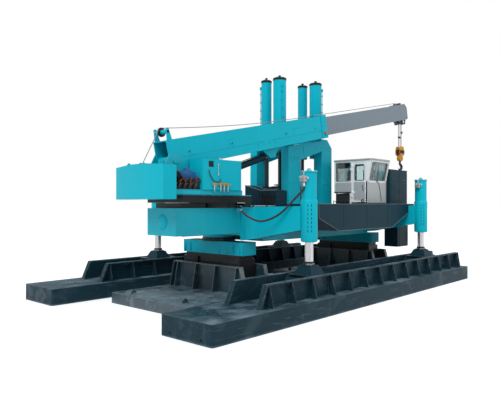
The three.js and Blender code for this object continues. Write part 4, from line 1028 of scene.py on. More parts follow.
def pierced(corners, u, v, thickness, plane, radius=0.05):
    """A wall with one window: the wall's outline and the window's are joined as a closed stack of
    rings, over the outer face, through the wall and over its inner face."""
    outer, hole, ease = spread_corners(corners), rounded_ring(u, v, radius), 0.006
    wide = rounded_ring((u[0] - ease, u[1] + ease), (v[0] - ease, v[1] + ease), radius + ease)
    rings = [laid(outer, 0, *plane), laid(wide, 0, *plane), laid(hole, -ease, *plane),
             laid(hole, -thickness, *plane), laid(outer, -thickness, *plane)]
    return lofted(rings, closed=True)


def seal_ring(u, v, plane, depth, radius=0.05, width=0.016):
    """A rubber seal: a rounded rectangle's ring with a domed section that laps the wall's face."""
    rings = []
    for inset, height in ((-0.012, -0.004), (-0.012, 0.006), (0, 0.01), (width, 0.004), (width, -depth),
                          (0.001, -depth)):
        ring = rounded_ring((u[0] + inset, u[1] - inset), (v[0] + inset, v[1] - inset),
                            radius - inset * 0.7)
        rings.append(laid(ring, height, *plane))
    return lofted(rings, closed=True)


def pane(u, v, plane, depth, radius=0.05):
    """A flat pane with round corners, set back in its opening by a depth."""
    ring = rounded_ring((u[0] + 0.004, u[1] - 0.004), (v[0] + 0.004, v[1] - 0.004), radius - 0.003)
    return lofted([laid(ring, height, *plane) for height in (-depth - 0.006, -depth)])


def skin(u, v, plane, height=0.004, radius=0.03):
    """A thin pressed panel: a rounded rectangle that rises to its height over a narrow slope."""
    rings = [laid(rounded_ring((u[0] + i, u[1] - i), (v[0] + i, v[1] - i), radius), h, *plane)
             for i, h in ((0, -0.002), (0, height * 0.4), (0.008, height), (0.02, height))]
    return lofted(rings)


cab_white = enamel("cab_white", (0.88, 0.9, 0.91), gloss=0.34, worn=(0.5, 0.51, 0.52), chips=0.3, dust=0.06,
                   drift=0.08, splash=0.2)
cab_grey = enamel("cab_grey", (0.44, 0.46, 0.465), gloss=0.42, worn=(0.3, 0.31, 0.31), chips=0.3, dust=0.16,
                  drift=0.12, splash=0.2)
seal_black = enamel("window_seal", (0.2, 0.215, 0.22), gloss=0.6, worn=(0.03, 0.03, 0.03), chips=0.1,
                    dust=0.15)
glass, glass_tree, glass_shader = shader("cab_glass")
glass_shader.inputs["Transmission Weight"].default_value = 1
glass_shader.inputs["IOR"].default_value = 1.45
glass_smears = node(glass_tree, "TexNoise", Scale=2.2, Detail=5.0, Roughness=0.6)
glass_place = node(glass_tree, "TexCoord")
glass_tree.links.new(glass_place.outputs["Object"], glass_smears.inputs["Vector"])
glass_tint = node(glass_tree, "ValToRGB")
glass_tint.color_ramp.elements[0].color = (0.62, 0.76, 0.76, 1)
glass_tint.color_ramp.elements[1].color = (0.74, 0.84, 0.83, 1)
glass_tree.links.new(glass_smears.outputs["Fac"], glass_tint.inputs["Fac"])
glass_tree.links.new(glass_tint.outputs["Color"], glass_shader.inputs["Base Color"])
glass_rough = node(glass_tree, "MapRange", To_Min=0.0, To_Max=0.05, Value=glass_smears.outputs["Fac"])
glass_tree.links.new(glass_rough.outputs[0], glass_shader.inputs["Roughness"])

# Each side's plane has its first direction along the wall as seen from outside, its second up.
lean_up = unit((0, -cab_lean, cab_eaves - cab_belt))
lean_height = math.hypot(cab_lean, cab_eaves - cab_belt)
x_way, y_way = np.array((1.0, 0, 0)), np.array((0, 1.0, 0))
upright_z = np.array((0, 0, 1.0))
left_plane = ((cab_left, 0, 0), -y_way, upright_z)
right_plane = ((cab_right, 0, 0), y_way, upright_z)
rear_plane = ((0, cab_rear, 0), -x_way, upright_z)
front_plane = ((0, cab_nose, cab_belt), x_way, lean_up)
nose_plane = ((0, cab_nose, 0), x_way, upright_z)
windows = {
    "left_rear": (left_plane, (1.22, 1.83), (3.73, 4.38)),
    "right_rear": (right_plane, (-1.74, -1.27), (3.74, 4.36)),
    "right_front": (right_plane, (-2.43, -1.93), (3.74, 4.36)),
    "front": (front_plane, (cab_left + 0.11, cab_right - 0.11), (0.045, lean_height - 0.09)),
    "rear": (rear_plane, (-cab_right + 0.18, -cab_left - 0.18), (3.74, 4.32)),
}
walls = [
    pierced([(1.922, cab_eaves), (-cab_rear, cab_eaves), (-cab_rear, cab_raised), (1.922, cab_raised)],
            *windows["left_rear"][1:], wall, left_plane),
    pierced([(cab_rear, cab_eaves), (cab_step, cab_eaves), (cab_step, cab_raised), (cab_rear, cab_raised)],
            *windows["right_rear"][1:], wall, right_plane),
    pierced([(cab_step, cab_eaves), (cab_nose - cab_lean, cab_eaves), (cab_nose, cab_belt),
             (cab_step, cab_belt)],
            *windows["right_front"][1:], wall, right_plane, radius=0.04),
    pierced([(cab_right - 0.001, lean_height), (cab_left + 0.001, lean_height), (cab_left + 0.001, 0),
             (cab_right - 0.001, 0)], *windows["front"][1:], wall, front_plane, radius=0.07),
    pierced([(-cab_left - 0.001, cab_eaves), (-cab_right + 0.001, cab_eaves),
             (-cab_right + 0.001, cab_raised),
             (-cab_left - 0.001, cab_raised)], *windows["rear"][1:], wall, rear_plane),
]


def endways(outline, low, high, edge=0.002):
    """A plate drawn across and up the machine, (y, z), and carried along x from low to high."""
    return plate_cut(outline, low, high, (0, 0, 0), (0, 1, 0), (0, 0, 1), edge)


door_nose, door_rear, door_low, door_high, door_gap = -2.43, -1.93, 3.03, 4.36, 0.008
walls += [
    endways([(door_rear + door_gap, cab_floor), (cab_step, cab_floor), (cab_step, cab_raised),
             (door_rear + door_gap, cab_raised)], cab_left, cab_left + wall),
    endways([(door_nose - door_gap, cab_floor), (door_rear + door_gap, cab_floor),
             (door_rear + door_gap, door_low - door_gap), (door_nose - door_gap, door_low - door_gap)],
            cab_left, cab_left + wall),
    endways([(door_nose - door_gap, door_high + door_gap), (door_rear + door_gap, door_high + door_gap),
             (door_rear + door_gap, cab_eaves), (door_nose - door_gap, cab_eaves)], cab_left,
            cab_left + wall),
    endways([(cab_nose, cab_floor), (door_nose - door_gap, cab_floor), (door_nose - door_gap, cab_eaves),
             (cab_nose - cab_lean, cab_eaves), (cab_nose, cab_belt)], cab_left, cab_left + wall),
    endways([(cab_nose, cab_floor), (cab_step, cab_floor), (cab_step, cab_belt), (cab_nose, cab_belt)],
            cab_right - wall, cab_right),
    bar((cab_left, cab_nose, cab_floor), (cab_right, cab_nose + wall, cab_belt), 0.003),
    bar((cab_left, cab_nose, cab_floor), (cab_right, cab_step, cab_floor + wall)),
    bar((cab_left, cab_step, cab_raised), (cab_right, cab_rear, cab_raised + wall)),
    bar((cab_left, cab_step, cab_floor), (cab_right, cab_step + wall, cab_raised)),
]
cab_walls = piece("cab_walls", walls, cab_white, "platform", 25)
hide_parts("cab_shell")
roof_plan = ((cab_left - 0.035, cab_right + 0.035), (cab_nose - cab_lean - 0.035, cab_rear + 0.035))
roof = [np.column_stack([rounded_ring((roof_plan[0][0] + i, roof_plan[0][1] - i),
                                      (roof_plan[1][0] + i, roof_plan[1][1] - i), 0.09), np.full(24, z)])
        for i, z in ((0.045, 4.43), (0.03, 4.442), (0.004, 4.447), (0, 4.458), (0, 4.482), (0.012, 4.494),
                     (0.06, 4.4985), (0.2, 4.4999))]
piece("cab_roof", lofted(roof), cab_grey, "platform", 30)
skins = [
    skin((1.19, 1.86), (3.34, 3.68), left_plane), skin((-1.81, -1.18), (3.34, 3.68), right_plane),
    skin((-2.46, -1.9), (2.96, 3.66), right_plane),
    skin((cab_left + 0.03, cab_right - 0.03), (2.95, 3.67), nose_plane),
    skin((-cab_right + 0.06, -cab_left - 0.06), (3.34, 3.68), rear_plane),
]
piece("cab_lower_skins", skins, cab_grey, "platform", 25)
piece("cab_seals", gathered(*[seal_ring(u, v, plane, 0.04) for plane, u, v in windows.values()]),
      seal_black,
      "platform")
piece("cab_panes", gathered(*[pane(u, v, plane, 0.03) for plane, u, v in windows.values()]), glass,
      "platform")
drip = [bent_pipe([(cab_left - 0.004, cab_rear + 0.02, 4.415), (cab_left - 0.004, cab_nose - 0.12, 4.415)],
                  0.007, 8),
        bent_pipe([(cab_left - 0.02, cab_nose - 0.152, 4.415),
                   (cab_right + 0.02, cab_nose - 0.152, 4.415)], 0.007, 8)]
for x in (cab_left + 0.004, cab_right - 0.004):
    drip.append(bent_pipe([(x, cab_nose + 0.002, cab_floor + 0.02), (x, cab_nose + 0.002, cab_belt),
                           (x, cab_nose - cab_lean + 0.003, cab_eaves - 0.01)], 0.008, 8))
drip.append(bent_pipe([(cab_left, cab_nose - 0.001, cab_belt), (cab_right, cab_nose - 0.001, cab_belt)],
                      0.009, 8))
piece("cab_beads", drip, cab_white, "platform")

# The leaning front window has a curved blind's edge at a third of its width, a wiper and its cable,
# and the side window has slats behind it. Dark sun strips hang along the roof's edge.
strips = [bar((cab_left + 0.062, cab_rear - 0.61, 4.2), (cab_left + 0.07, cab_rear - 0.12, 4.37), 0.002),
          bar((cab_left + 0.062, cab_nose + 0.06, 4.26), (cab_left + 0.07, cab_nose + 0.52, 4.36), 0.002),
          bar((cab_left + 0.08, cab_nose + 0.02, 4.28), (cab_right - 0.08, cab_nose + 0.03, 4.42), 0.002)]
curtain = []
for step in np.linspace(0, 1, 9):
    bow = 0.03 * math.sin(math.pi * step)
    curtain.append([(cab_left + 0.13, cab_nose + 0.085 - cab_lean * step, cab_belt + 0.03 + 0.66 * step),
                    (cab_left + 0.42 + bow, cab_nose + 0.085 - cab_lean * step,
                     cab_belt + 0.03 + 0.66 * step),
                    (cab_left + 0.42 + bow, cab_nose + 0.095 - cab_lean * step,
                     cab_belt + 0.03 + 0.66 * step),
                    (cab_left + 0.13, cab_nose + 0.095 - cab_lean * step, cab_belt + 0.03 + 0.66 * step)])
shade_green = enamel("sun_shade", (0.03, 0.055, 0.055), gloss=0.7, worn=(0.05, 0.08, 0.08), chips=0.1,
                     dust=0.1)
piece("cab_sun_strips", gathered(*strips, lofted(curtain)), shade_green, "platform")
slats, screen = [], []
for z in np.arange(3.77, 4.19, 0.034):
    slats.append(plate_cut([(-0.02, -0.012), (0.02, 0.012), (0.019, 0.014), (-0.021, -0.01)], -0.29, 0.29,
                           (cab_left + 0.09, -1.505, z), (1, 0, 0), (0, 0, 1), 0.0005))
slats.append(bar((cab_left + 0.075, -1.73, 4.19), (cab_left + 0.105, -1.24, 4.22), 0.002))
blind_grey = enamel("blind_slats", (0.5, 0.56, 0.58), gloss=0.5, worn=(0.3, 0.32, 0.32), chips=0.1,
                    dust=0.2)
for step in np.linspace(0, 1, 9):
    bow, y = 0.03 * math.sin(math.pi * step), cab_nose + 0.085 - cab_lean * step
    screen.append([(x, y + back, cab_belt + 0.03 + 0.66 * step) for x, back in (
        (cab_left + 0.47 + bow, 0), (cab_right - 0.13, 0), (cab_right - 0.13, 0.01),
        (cab_left + 0.47 + bow, 0.01))])
piece("cab_blind", gathered(*slats, lofted(screen)), blind_grey, "platform")
wiper_foot = (cab_left + 0.62, cab_nose - 0.02, cab_belt + 0.01)
wiper = [bent_pipe([wiper_foot, (cab_left + 0.6, cab_nose - 0.075, 3.92),
                    (cab_left + 0.56, cab_nose - 0.11, 4.1)], 0.007, 8),
         bent_pipe([(cab_left + 0.54, cab_nose - 0.06, 3.84), (cab_left + 0.53, cab_nose - 0.14, 4.3)],
                   0.009, 8),
         turned([(0.022, -0.02), (0.022, 0.014), (0.012, 0.02)], wiper_foot, (0, -1, 0.2), 16)]
wiper.append(bent_hose([(cab_left + 0.68, cab_nose - 0.014, 3.7), (cab_left + 0.78, cab_nose - 0.012, 3.6),
                                (cab_left + 0.88, cab_nose - 0.011, 3.3),
                        (cab_left + 0.96, cab_nose - 0.011, 2.99)],
                               24, 0.009))
for x, z in ((0.83, 3.47), (0.92, 3.15)):
    wiper.append(bar((cab_left + x - 0.025, cab_nose - 0.024, z),
                     (cab_left + x + 0.025, cab_nose - 0.002, z + 0.012), 0.002))
piece("cab_wiper_and_cable", wiper, rubber, "platform")

# Door: a pressed leaf with its own window, hung on two knuckle hinges at its rear edge.
leaf_corners = [(-door_nose, door_high), (-door_rear, door_high), (-door_rear, door_low),
                (-door_nose, door_low)]
leaf = [pierced(leaf_corners, (1.99, 2.37), (3.74, 4.3), 0.05, left_plane, radius=0.045)]
door = piece("cab_door_leaf", leaf, cab_white, "cab_door", 25)
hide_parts("cab_door")
piece("door_skin", skin((1.96, 2.4), (3.06, 3.69), left_plane), cab_grey, "cab_door", 25)
piece("door_seal", seal_ring((1.99, 2.37), (3.74, 4.3), left_plane, 0.036, 0.045), seal_black, "cab_door")
piece("door_pane", pane((1.99, 2.37), (3.74, 4.3), left_plane, 0.028, 0.045), glass, "cab_door")
hinge_x, hinge_y = cab_left - 0.022, door_rear + 0.04
knuckles, leaves = [], []
for level in (3.15, 4.08):
    middle = level + 0.11
    for shapes, low in ((knuckles, level), (leaves, middle + 0.0006)):
        shapes.append(turned([(0.017, 0), (0.02, 0.004), (0.02, 0.106), (0.017, 0.11)],
                             (hinge_x, hinge_y, low), sides=24))
    knuckles.append(bar((cab_left - 0.012, hinge_y - 0.01, level + 0.012),
                        (cab_left + 0.001, hinge_y + 0.07, level + 0.098)))
    leaves.append(bar((cab_left - 0.014, hinge_y - 0.11, middle + 0.013),
                      (cab_left - 0.001, hinge_y - 0.005, middle + 0.097)))
    leaves.append(hex_bolts([(cab_left - 0.014, hinge_y - 0.09 + 0.04 * k, middle + z) for k in (0, 1)
                             for z in (0.035, 0.075)],
                            (-1, 0, 0), 0.014, 0.007))
piece("door_hinge_knuckles", knuckles, cab_white, "platform")
piece("door_hinge_leaves", leaves, cab_white, "cab_door")
handle = [bent_hose([(cab_left, -2.33, 3.45), (cab_left - 0.03, -2.33, 3.46),
                     (cab_left - 0.032, -2.33, 3.56),
                             (cab_left, -2.33, 3.57)], 24, 0.009),
          turned([(0.022, 0), (0.02, 0.006), (0.008, 0.008)], (cab_left - 0.004, -2.33, 3.4), (-1, 0, 0),
                 20)]
piece("door_handle", handle, black_iron, "cab_door")
grab = bent_hose([(cab_left, -2.47, 3.1), (cab_left - 0.03, -2.47, 3.11), (cab_left - 0.03, -2.47, 3.3),
                          (cab_left, -2.47, 3.31)], 24, 0.01)
loops = [bent_hose([(cab_left - 0.03, -2.3, 2.925), (cab_left - 0.05, -2.3, 3.05),
                    (cab_left - 0.05, -2.36, 3.07),
                            (cab_left - 0.03, -2.4, 2.925)], 24, 0.016)]
piece("cab_grab_rail", [grab, *loops], black_iron, "platform")

# Pipes under the raised floor: grey and black pipes that bend and cross, with their unions.
pipes = np.random.default_rng(33)
clutter, bright = [], []
for run in range(14):
    z, y = 2.96 + 0.024 * run, pipes.uniform(-1.8, -1.2)
    x0, x1 = cab_left + pipes.uniform(0.0, 0.2), cab_right - pipes.uniform(0, 0.3)
    line = flowing([(x0, y, 2.93), (x0 + 0.03, y, z), (x0 + 0.25, y + pipes.uniform(-0.05, 0.05), z),
                    ((x0 + x1) / 2, y + pipes.uniform(-0.08, 0.08), z), (x1, y, 2.98)], 30)
    (bright if run % 3 == 0 else clutter).append(bent_pipe(line, pipes.uniform(0.012, 0.02), 10))
for run in range(5):
    y = -1.78 + 0.14 * run
    clutter.append(bent_hose([(cab_left + 0.02, y, 2.93), (cab_left - 0.02, y + 0.02, 3.0),
                                      (cab_left - 0.02, y + 0.1, 3.02), (cab_left + 0.03, y + 0.13, 2.93)],
                             20, 0.013))
clutter.append(bar((cab_left + 0.15, -1.8, 2.922), (cab_right - 0.1, -1.2, 2.97)))
# A black block fills the open space under the raised floor, round the pipes: painted shade in the void.
clutter.append(bar((cab_left + 0.06, cab_step + 0.03, 2.922), (cab_right - 0.12, cab_rear - 0.03, 3.285)))
piece("cab_floor_pipes", clutter, rubber, "platform")
piece("cab_floor_unions", bright, zinc, "platform")
posts = [bar((x - 0.02, cab_rear - 0.08, 2.921), (x + 0.02, cab_rear - 0.04, 3.3))
         for x in (cab_left + 0.08, cab_right - 0.08)]
piece("cab_floor_posts", posts, cab_grey, "platform")

# ---- Operator's seat ----
# A sprung seat on the raised floor: two stuffed cushions of black cloth in a plastic pan, a rubber
# bellows under it, and a console with a lever on each side. The stuffing swells by simulation.
seat_x, seat_front = (cab_left + cab_right) / 2, -1.91


def stuffed(name, low, high, swell):
    """A sewn cushion. Each point of a box grid is drawn in at the corners, as a superellipse of
    power 6, and its large faces are crowned; air pressure then swells the cloth, up to a limit."""
    low, high = np.asarray(low, float), np.asarray(high, float)
    middle, half = (low + high) / 2, (high - low) / 2
    turn = np.linspace(0, 2 * math.pi, 40, endpoint=False)
    rings = []
    for lift in np.linspace(-0.5 * math.pi + 0.08, 0.5 * math.pi - 0.08, 15):
        across = np.abs(np.cos(lift)) ** 0.35
        around = np.stack([np.sign(np.cos(turn)) * np.abs(np.cos(turn)) ** 0.35 * across,
                           np.sign(np.sin(turn)) * np.abs(np.sin(turn)) ** 0.35 * across,
                           np.full(40, np.sign(np.sin(lift)) * np.abs(np.sin(lift)) ** 0.6)], 1)
        rings.append(middle + around * half * 0.95)
    made = piece(name, lofted(rings), seat_cloth, "platform", 80)
    remesh = made.modifiers.new("even", "REMESH")
    remesh.mode, remesh.voxel_size = "VOXEL", 0.009
    settle(made)
    start = np.empty(len(made.data.vertices) * 3)
    made.data.vertices.foreach_get("co", start)
    cloth = made.modifiers.new("stuffing", "CLOTH")
    cloth.settings.use_pressure, cloth.settings.uniform_pressure_force = True, 4
    cloth.settings.effector_weights.gravity = 0
    cloth.point_cache.frame_start, cloth.point_cache.frame_end = 1, 20
    for step in range(1, 21):
        scene.frame_set(step)
    settle(made)
    scene.frame_set(1)
    swollen = np.empty(len(start))
    made.data.vertices.foreach_get("co", swollen)
    moved = (swollen - start).reshape(-1, 3)
    length = np.linalg.norm(moved, axis=1, keepdims=True)
    capped = start.reshape(-1, 3) + moved * np.minimum(1, swell / np.maximum(length, 1e-9))
    capped = np.clip(capped, low, high)
    made.data.vertices.foreach_set("co", capped.ravel())
    made.data.shade_smooth()
    return made


def settle(made):
    """Takes what the modifiers make of the piece as its own mesh, and drops the modifiers."""
    depth = bpy.context.evaluated_depsgraph_get()
    result = bpy.data.meshes.new_from_object(made.evaluated_get(depth), depsgraph=depth)
    made.modifiers.clear()
    made.data = result


seat_cloth, cloth_tree, cloth_shader = shader("seat_cloth")
cloth_shader.inputs["Sheen Weight"].default_value = 0.3
cloth_shader.inputs["Roughness"].default_value = 0.9
cloth_shader.inputs["Specular IOR Level"].default_value = 0.15
cloth_place = node(cloth_tree, "TexCoord")
weave = node(cloth_tree, "TexWave", wave_type="BANDS", bands_direction="DIAGONAL", Scale=130.0,
             Distortion=1.0, Vector=cloth_place.outputs["Object"])
weave_tone = node(cloth_tree, "ValToRGB")
weave_tone.color_ramp.elements[0].color = (0.012, 0.013, 0.016, 1)
weave_tone.color_ramp.elements[1].color = (0.035, 0.038, 0.045, 1)
cloth_tree.links.new(weave.outputs["Fac"], weave_tone.inputs["Fac"])
cloth_tree.links.new(weave_tone.outputs["Color"], cloth_shader.inputs["Base Color"])
weave_bump = node(cloth_tree, "Bump", Strength=0.4, Distance=0.001, Height=weave.outputs["Fac"])
cloth_tree.links.new(weave_bump.outputs["Normal"], cloth_shader.inputs["Normal"])
cushion = stuffed("seat_cushion", (seat_x - 0.24, seat_front, 3.43),
                  (seat_x + 0.24, seat_front + 0.42, 3.51), 0.012)
stuffed("seat_back_cushion", (seat_x - 0.23, seat_front + 0.405, 3.54),
        (seat_x + 0.23, seat_front + 0.47, 4.14), 0.012)
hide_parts("operator_seat")
pan = [plate_cut([(-0.25, 0), (0.25, 0), (0.25, 0.022), (-0.25, 0.022)], 0, 0.44,
                 (seat_x, seat_front + 0.44, 3.405),
                 (1, 0, 0), (0, 0, 1), 0.008),
       plate_cut([(-0.24, 0), (0.24, 0), (0.24, 0.6), (0.16, 0.74), (-0.16, 0.74), (-0.24, 0.6)], 0, 0.022,
                 (seat_x, seat_front + 0.499, 3.42), (1, 0, 0), (0, 0, 1), 0.008)]
for way in (-1, 1):
    x = seat_x + way * 0.34
    pan.append(bar((x - 0.07, seat_front - 0.02, 3.361), (x + 0.07, seat_front + 0.4, 3.66), 0.02))
    pan.append(bent_pipe([(x, seat_front + 0.06, 3.66), (x, seat_front + 0.05, 3.78)], 0.009, 10))
    pan.append(turned([(0.012, 0), (0.024, 0.02), (0.026, 0.05), (0.014, 0.07)],
                      (x, seat_front + 0.05, 3.77), sides=20))
pan.append(bar((cab_left + 0.3, cab_nose + 0.1, cab_floor + 0.07),
               (cab_right - 0.3, cab_nose + 0.24, 3.62), 0.02))
piece("seat_pan_and_consoles", pan, black_iron, "platform")
bellows = [(0.17 + 0.015 * (step % 2), 3.361 + 0.0056 * step) for step in range(9)]
piece("seat_bellows", turned(bellows, (seat_x, seat_front + 0.22, 0), sides=32), rubber,
      "platform")


# ---- Equipment cabinet and power pack ----
# Sheet steel cabinets bolted to the side trays. Doors lie proud of the frame on lift-off hinges,
# with flush latches and pressed louvres; lifting eyes stand on their tops.
def cabinet_doors(centre_u, width, v, plane, latch=1):
    """A door skin with two hinge barrels on one edge and a latch on the other."""
    u = (centre_u - width / 2, centre_u + width / 2)
    shapes = [skin(u, v, plane, 0.008, 0.02)]
    for level in (v[0] + 0.12, v[1] - 0.12):
        foot = laid(np.array([(u[0] + (0 if latch > 0 else width), level - 0.04)]), 0.01, *plane)[0]
        shapes.append(turned([(0.009, 0), (0.009, 0.08)], foot, (0, 0, 1), 12))
    spot = laid(np.array([(centre_u + latch * (width / 2 - 0.05), (v[0] + v[1]) / 2)]), 0.008, *plane)[0]
    shapes.append(turned([(0.022, 0), (0.022, 0.006), (0.012, 0.012)], spot, np.cross(plane[1], plane[2]),
                         16))
    return shapes


def louvres(u, v, plane, pitch=0.045):
    """Pressed louvres: short hoods in a column, each a wedge that opens downwards."""
    hoods = []
    for level in np.arange(v[0], v[1], pitch):
        base = laid(np.array([(u[0], level)]), 0, *plane)[0]
        hoods.append(plate_cut([(0, 0), (0.016, 0), (0.016, 0.006), (0, 0.026)], 0, u[1] - u[0], base,
                               np.cross(plane[1], plane[2]), plane[2], 0.001))
    return hoods


def face_of(axis, low, high):
    """The plane of a box's near, far, left or right side, its first direction along the side."""
    return {"near": ((0, low[1], 0), x_way, upright_z), "far": ((0, high[1], 0), -x_way, upright_z),
            "left": ((low[0], 0, 0), -y_way, upright_z), "right": ((high[0], 0, 0), y_way, upright_z)}[axis]


coated(navy, "equipment_cabinet", "power_pack", "rear_tank", "valve_stand")
low, high = corners_of("equipment_cabinet")
near, left, right = (face_of(side, low, high) for side in ("near", "left", "right"))
fittings = []
for k, (share, width) in enumerate(((0.27, 0.6), (0.74, 0.62))):
    centre = low[0] + share * (high[0] - low[0])
    fittings += cabinet_doors(centre, width, (low[2] + 0.1, low[2] + 0.78), near, 1 if k == 0 else -1)
    fittings += cabinet_doors(centre, width, (low[2] + 0.83, high[2] - 0.06), near, 1 if k == 0 else -1)
fittings += cabinet_doors(-(low[1] + high[1]) / 2, 0.92, (low[2] + 0.1, high[2] - 0.1), left)
fittings += cabinet_doors((low[1] + high[1]) / 2, 0.92, (low[2] + 0.1, high[2] - 0.1), right)
fittings += louvres((low[0] + 0.8, low[0] + 1.2), (low[2] + 0.5, low[2] + 0.7), near)
for x in (low[0] + 0.1, high[0] - 0.1):
    for y in (low[1] + 0.1, high[1] - 0.1):
        fittings.append(turned([(0.03, 0), (0.03, 0.012), (0.014, 0.016)], (x, y, high[2]), sides=20))
fittings.append(plate_cut([(low[0] - 0.012, 0), (high[0] + 0.012, 0), (high[0] + 0.012, 0.02),
                           (low[0] - 0.012, 0.02)],
                          -high[1] - 0.012, -low[1] + 0.012, (0, 0, high[2] - 0.022), (1, 0, 0), (0, 0, 1)))
piece("cabinet_fittings", fittings, navy, "platform", 25)
# A black bar on the near face stands for a slot: painted shade inside the opening.
slot = [bar((low[0] + 0.86, low[1] - 0.014, low[2] + 0.86), (low[0] + 1.24, low[1] - 0.008, low[2] + 0.92))]
piece("cabinet_slot", slot, grease_black, "platform")
low, high = corners_of("power_pack")
far, left, right, near = (face_of(side, low, high) for side in ("far", "left", "right", "near"))
fittings = []
for k in range(3):
    centre = low[0] + (0.18 + 0.32 * k) * (high[0] - low[0])
    fittings += cabinet_doors(-centre, 0.56, (low[2] + 0.08, high[2] - 0.06), far)
    fittings += louvres((-centre - 0.2, -centre + 0.2), (low[2] + 0.55, low[2] + 0.85), far)
    fittings += louvres((centre - 0.2, centre + 0.2), (low[2] + 0.4, low[2] + 0.85), near)
for plane, way in ((left, -1), (right, 1)):
    centre = way * (low[1] + high[1]) / 2
    fittings += louvres((centre - 0.45, centre + 0.45), (low[2] + 0.2, high[2] - 0.16), plane, 0.06)
fittings.append(plate_cut([(low[0] - 0.012, 0), (high[0] + 0.012, 0), (high[0] + 0.012, 0.02),
                           (low[0] - 0.012, 0.02)],
                          -high[1] - 0.012, -low[1] + 0.012, (0, 0, high[2] - 0.022), (1, 0, 0), (0, 0, 1)))
piece("power_pack_fittings", fittings, navy, "platform", 25)

# Rear tank: two straps, a filler and a sight gauge. Valve stand: a bank of spool valves with levers on
# its slanted side, and the edge rubbed pale.
low, high = corners_of("rear_tank")
tank_fittings = [bar((x - 0.03, low[1] - 0.006, low[2] - 0.006),
                     (x + 0.03, high[1] + 0.006, high[2] + 0.006), 0.004)
                 for x in (low[0] + 0.2, high[0] - 0.2)]
tank_fittings.append(turned([(0.07, 0), (0.07, 0.03), (0.06, 0.04), (0.06, 0.06), (0.05, 0.066)],
                            ((low[0] + high[0]) / 2, (low[1] + high[1]) / 2, high[2]), sides=32))
tank_fittings.append(bent_pipe([(high[0] - 0.08, low[1] - 0.02, low[2] + 0.2),
                                (high[0] - 0.08, low[1] - 0.02, low[2] + 0.6)],
                               0.01, 10))
piece("rear_tank_fittings", tank_fittings, black_iron, "platform")
low, high = corners_of("valve_stand")
pale_edge = metal("rubbed_edge", (0.3, 0.36, 0.42), 0.4, 0.12, 20.0, (1, 1, 1))
middle_y = (low[1] + high[1]) / 2
edge = [bent_pipe([(x, low[1] + 0.002, 3.37), (x, middle_y, 3.37), (x, high[1] - 0.002, 3.56)], 0.007, 8)
        for x in (low[0] + 0.002, high[0] - 0.002)]
piece("valve_stand_edges", edge, pale_edge, "platform")
stand = []
for k in range(5):
    y = low[1] + 0.16 + 0.13 * k
    stand.append(bar((low[0] - 0.03, y - 0.05, low[2] + 0.12), (low[0] - 0.001, y + 0.05, low[2] + 0.4),
                     0.006))
    stand.append(bent_pipe([(low[0] - 0.03, y, low[2] + 0.34), (low[0] - 0.09, y, low[2] + 0.4),
                            (low[0] - 0.1, y, low[2] + 0.5)],
                           0.008, 8))
    stand.append(turned([(0.006, 0), (0.016, 0.01), (0.016, 0.024), (0.006, 0.034)],
                        (low[0] - 0.1, y, low[2] + 0.495), sides=14))
piece("valve_stand_levers", stand, black_iron, "platform")


# ---- Crane house ----
# A steel deck on a slewing ring, with two cheek plates for the boom's pin, a counterweight behind,
# an oil tank and a bay of hoses, pump and motor on the near side. Below the deck all is painted near
# black, for a black underframe and as painted shade under the deck.
across_crane = -np.array(joints["boom_luff"]["axis"])
along_crane = np.cross(across_crane, (0, 0, 1))
slew_at = np.array([*joints["crane_slew"]["pos_m"][:2], 0])
upright = np.array((0.0, 0.0, 1.0))


def on_crane(a, b, z):
    """The place that lies a along and b across the crane, from its slewing axis, at height z."""
    return slew_at + a * along_crane + b * across_crane + z * upright


def crane_plate(outline, low, high, edge=0.004):
    """A plate drawn along and up the crane, carried across it from low to high."""
    return plate_cut(outline, -high, -low, slew_at, along_crane, upright, edge)


def crane_bar(a, b, z, edge=0.005):
    """A rectangular block between pairs of values along, across and up the crane."""
    return crane_plate([(a[0], z[0]), (a[1], z[0]), (a[1], z[1]), (a[0], z[1])], b[0], b[1], edge)


def dark_below(name, colour, height):
    """Enamel that turns near black below a height, with a soft uneven border: the black underframe
    and painted shade under the deck.
    """
    material = enamel(name, colour, worn=(0.03, 0.3, 0.36), chips=0.55, dust=0.22)
    tree = material.node_tree
    link = tree.links.new
    principled = tree.nodes["Principled BSDF"]
    place = node(tree, "TexCoord")
    level = node(tree, "SeparateXYZ", place.outputs["Object"])
    border = node(tree, "TexNoise", Scale=14.0, Detail=3.0, Vector=place.outputs["Object"])
    shifted = node(tree, "Math", border.outputs["Fac"], 0.03, level.outputs["Z"], operation="MULTIPLY_ADD")
    dark = node(tree, "MapRange", From_Min=height + 0.02, From_Max=height + 0.005, Value=shifted.outputs[0])
    # Painted shade under the crane deck, partly the black underframe: the colour turns near black below the
    # height.
    greased = node(tree, "MixRGB", Color2=(0.007, 0.009, 0.01, 1), Fac=dark.outputs[0],
                   Color1=principled.inputs["Base Color"].links[0].from_socket)
    link(greased.outputs["Color"], principled.inputs["Base Color"])
    return material


coated(dark_below("crane_deck_enamel", (0.008, 0.42, 0.53), 3.145), "crane_frame")
coated(teal, "counterweight", "crane_tank", "boom_base", "luff_bracket")
coated(grease_black, "slew_ring", "crane_motor_unit")
coated(navy, "crane_cooler", "luff_barrel")
coated(metal("wound_rope", (0.3, 0.3, 0.31), 0.45, 0.15, 60.0, (1, 14, 1)), "winch_drum")
ring_bolts = hex_bolts(circle_of(on_crane(0, 0, 2.945), 0.655, 36, along_crane, across_crane), upright,
                       0.03, 0.02)
piece("slew_ring_bolts", ring_bolts, zinc, "platform")

plinth = [crane_bar(a, (-0.55, 0.55), (2.801, 2.938)) for a in ((-1.6, -0.72), (0.72, 1.0))]
piece("slew_ring_blocks", plinth, grease_black, "platform")
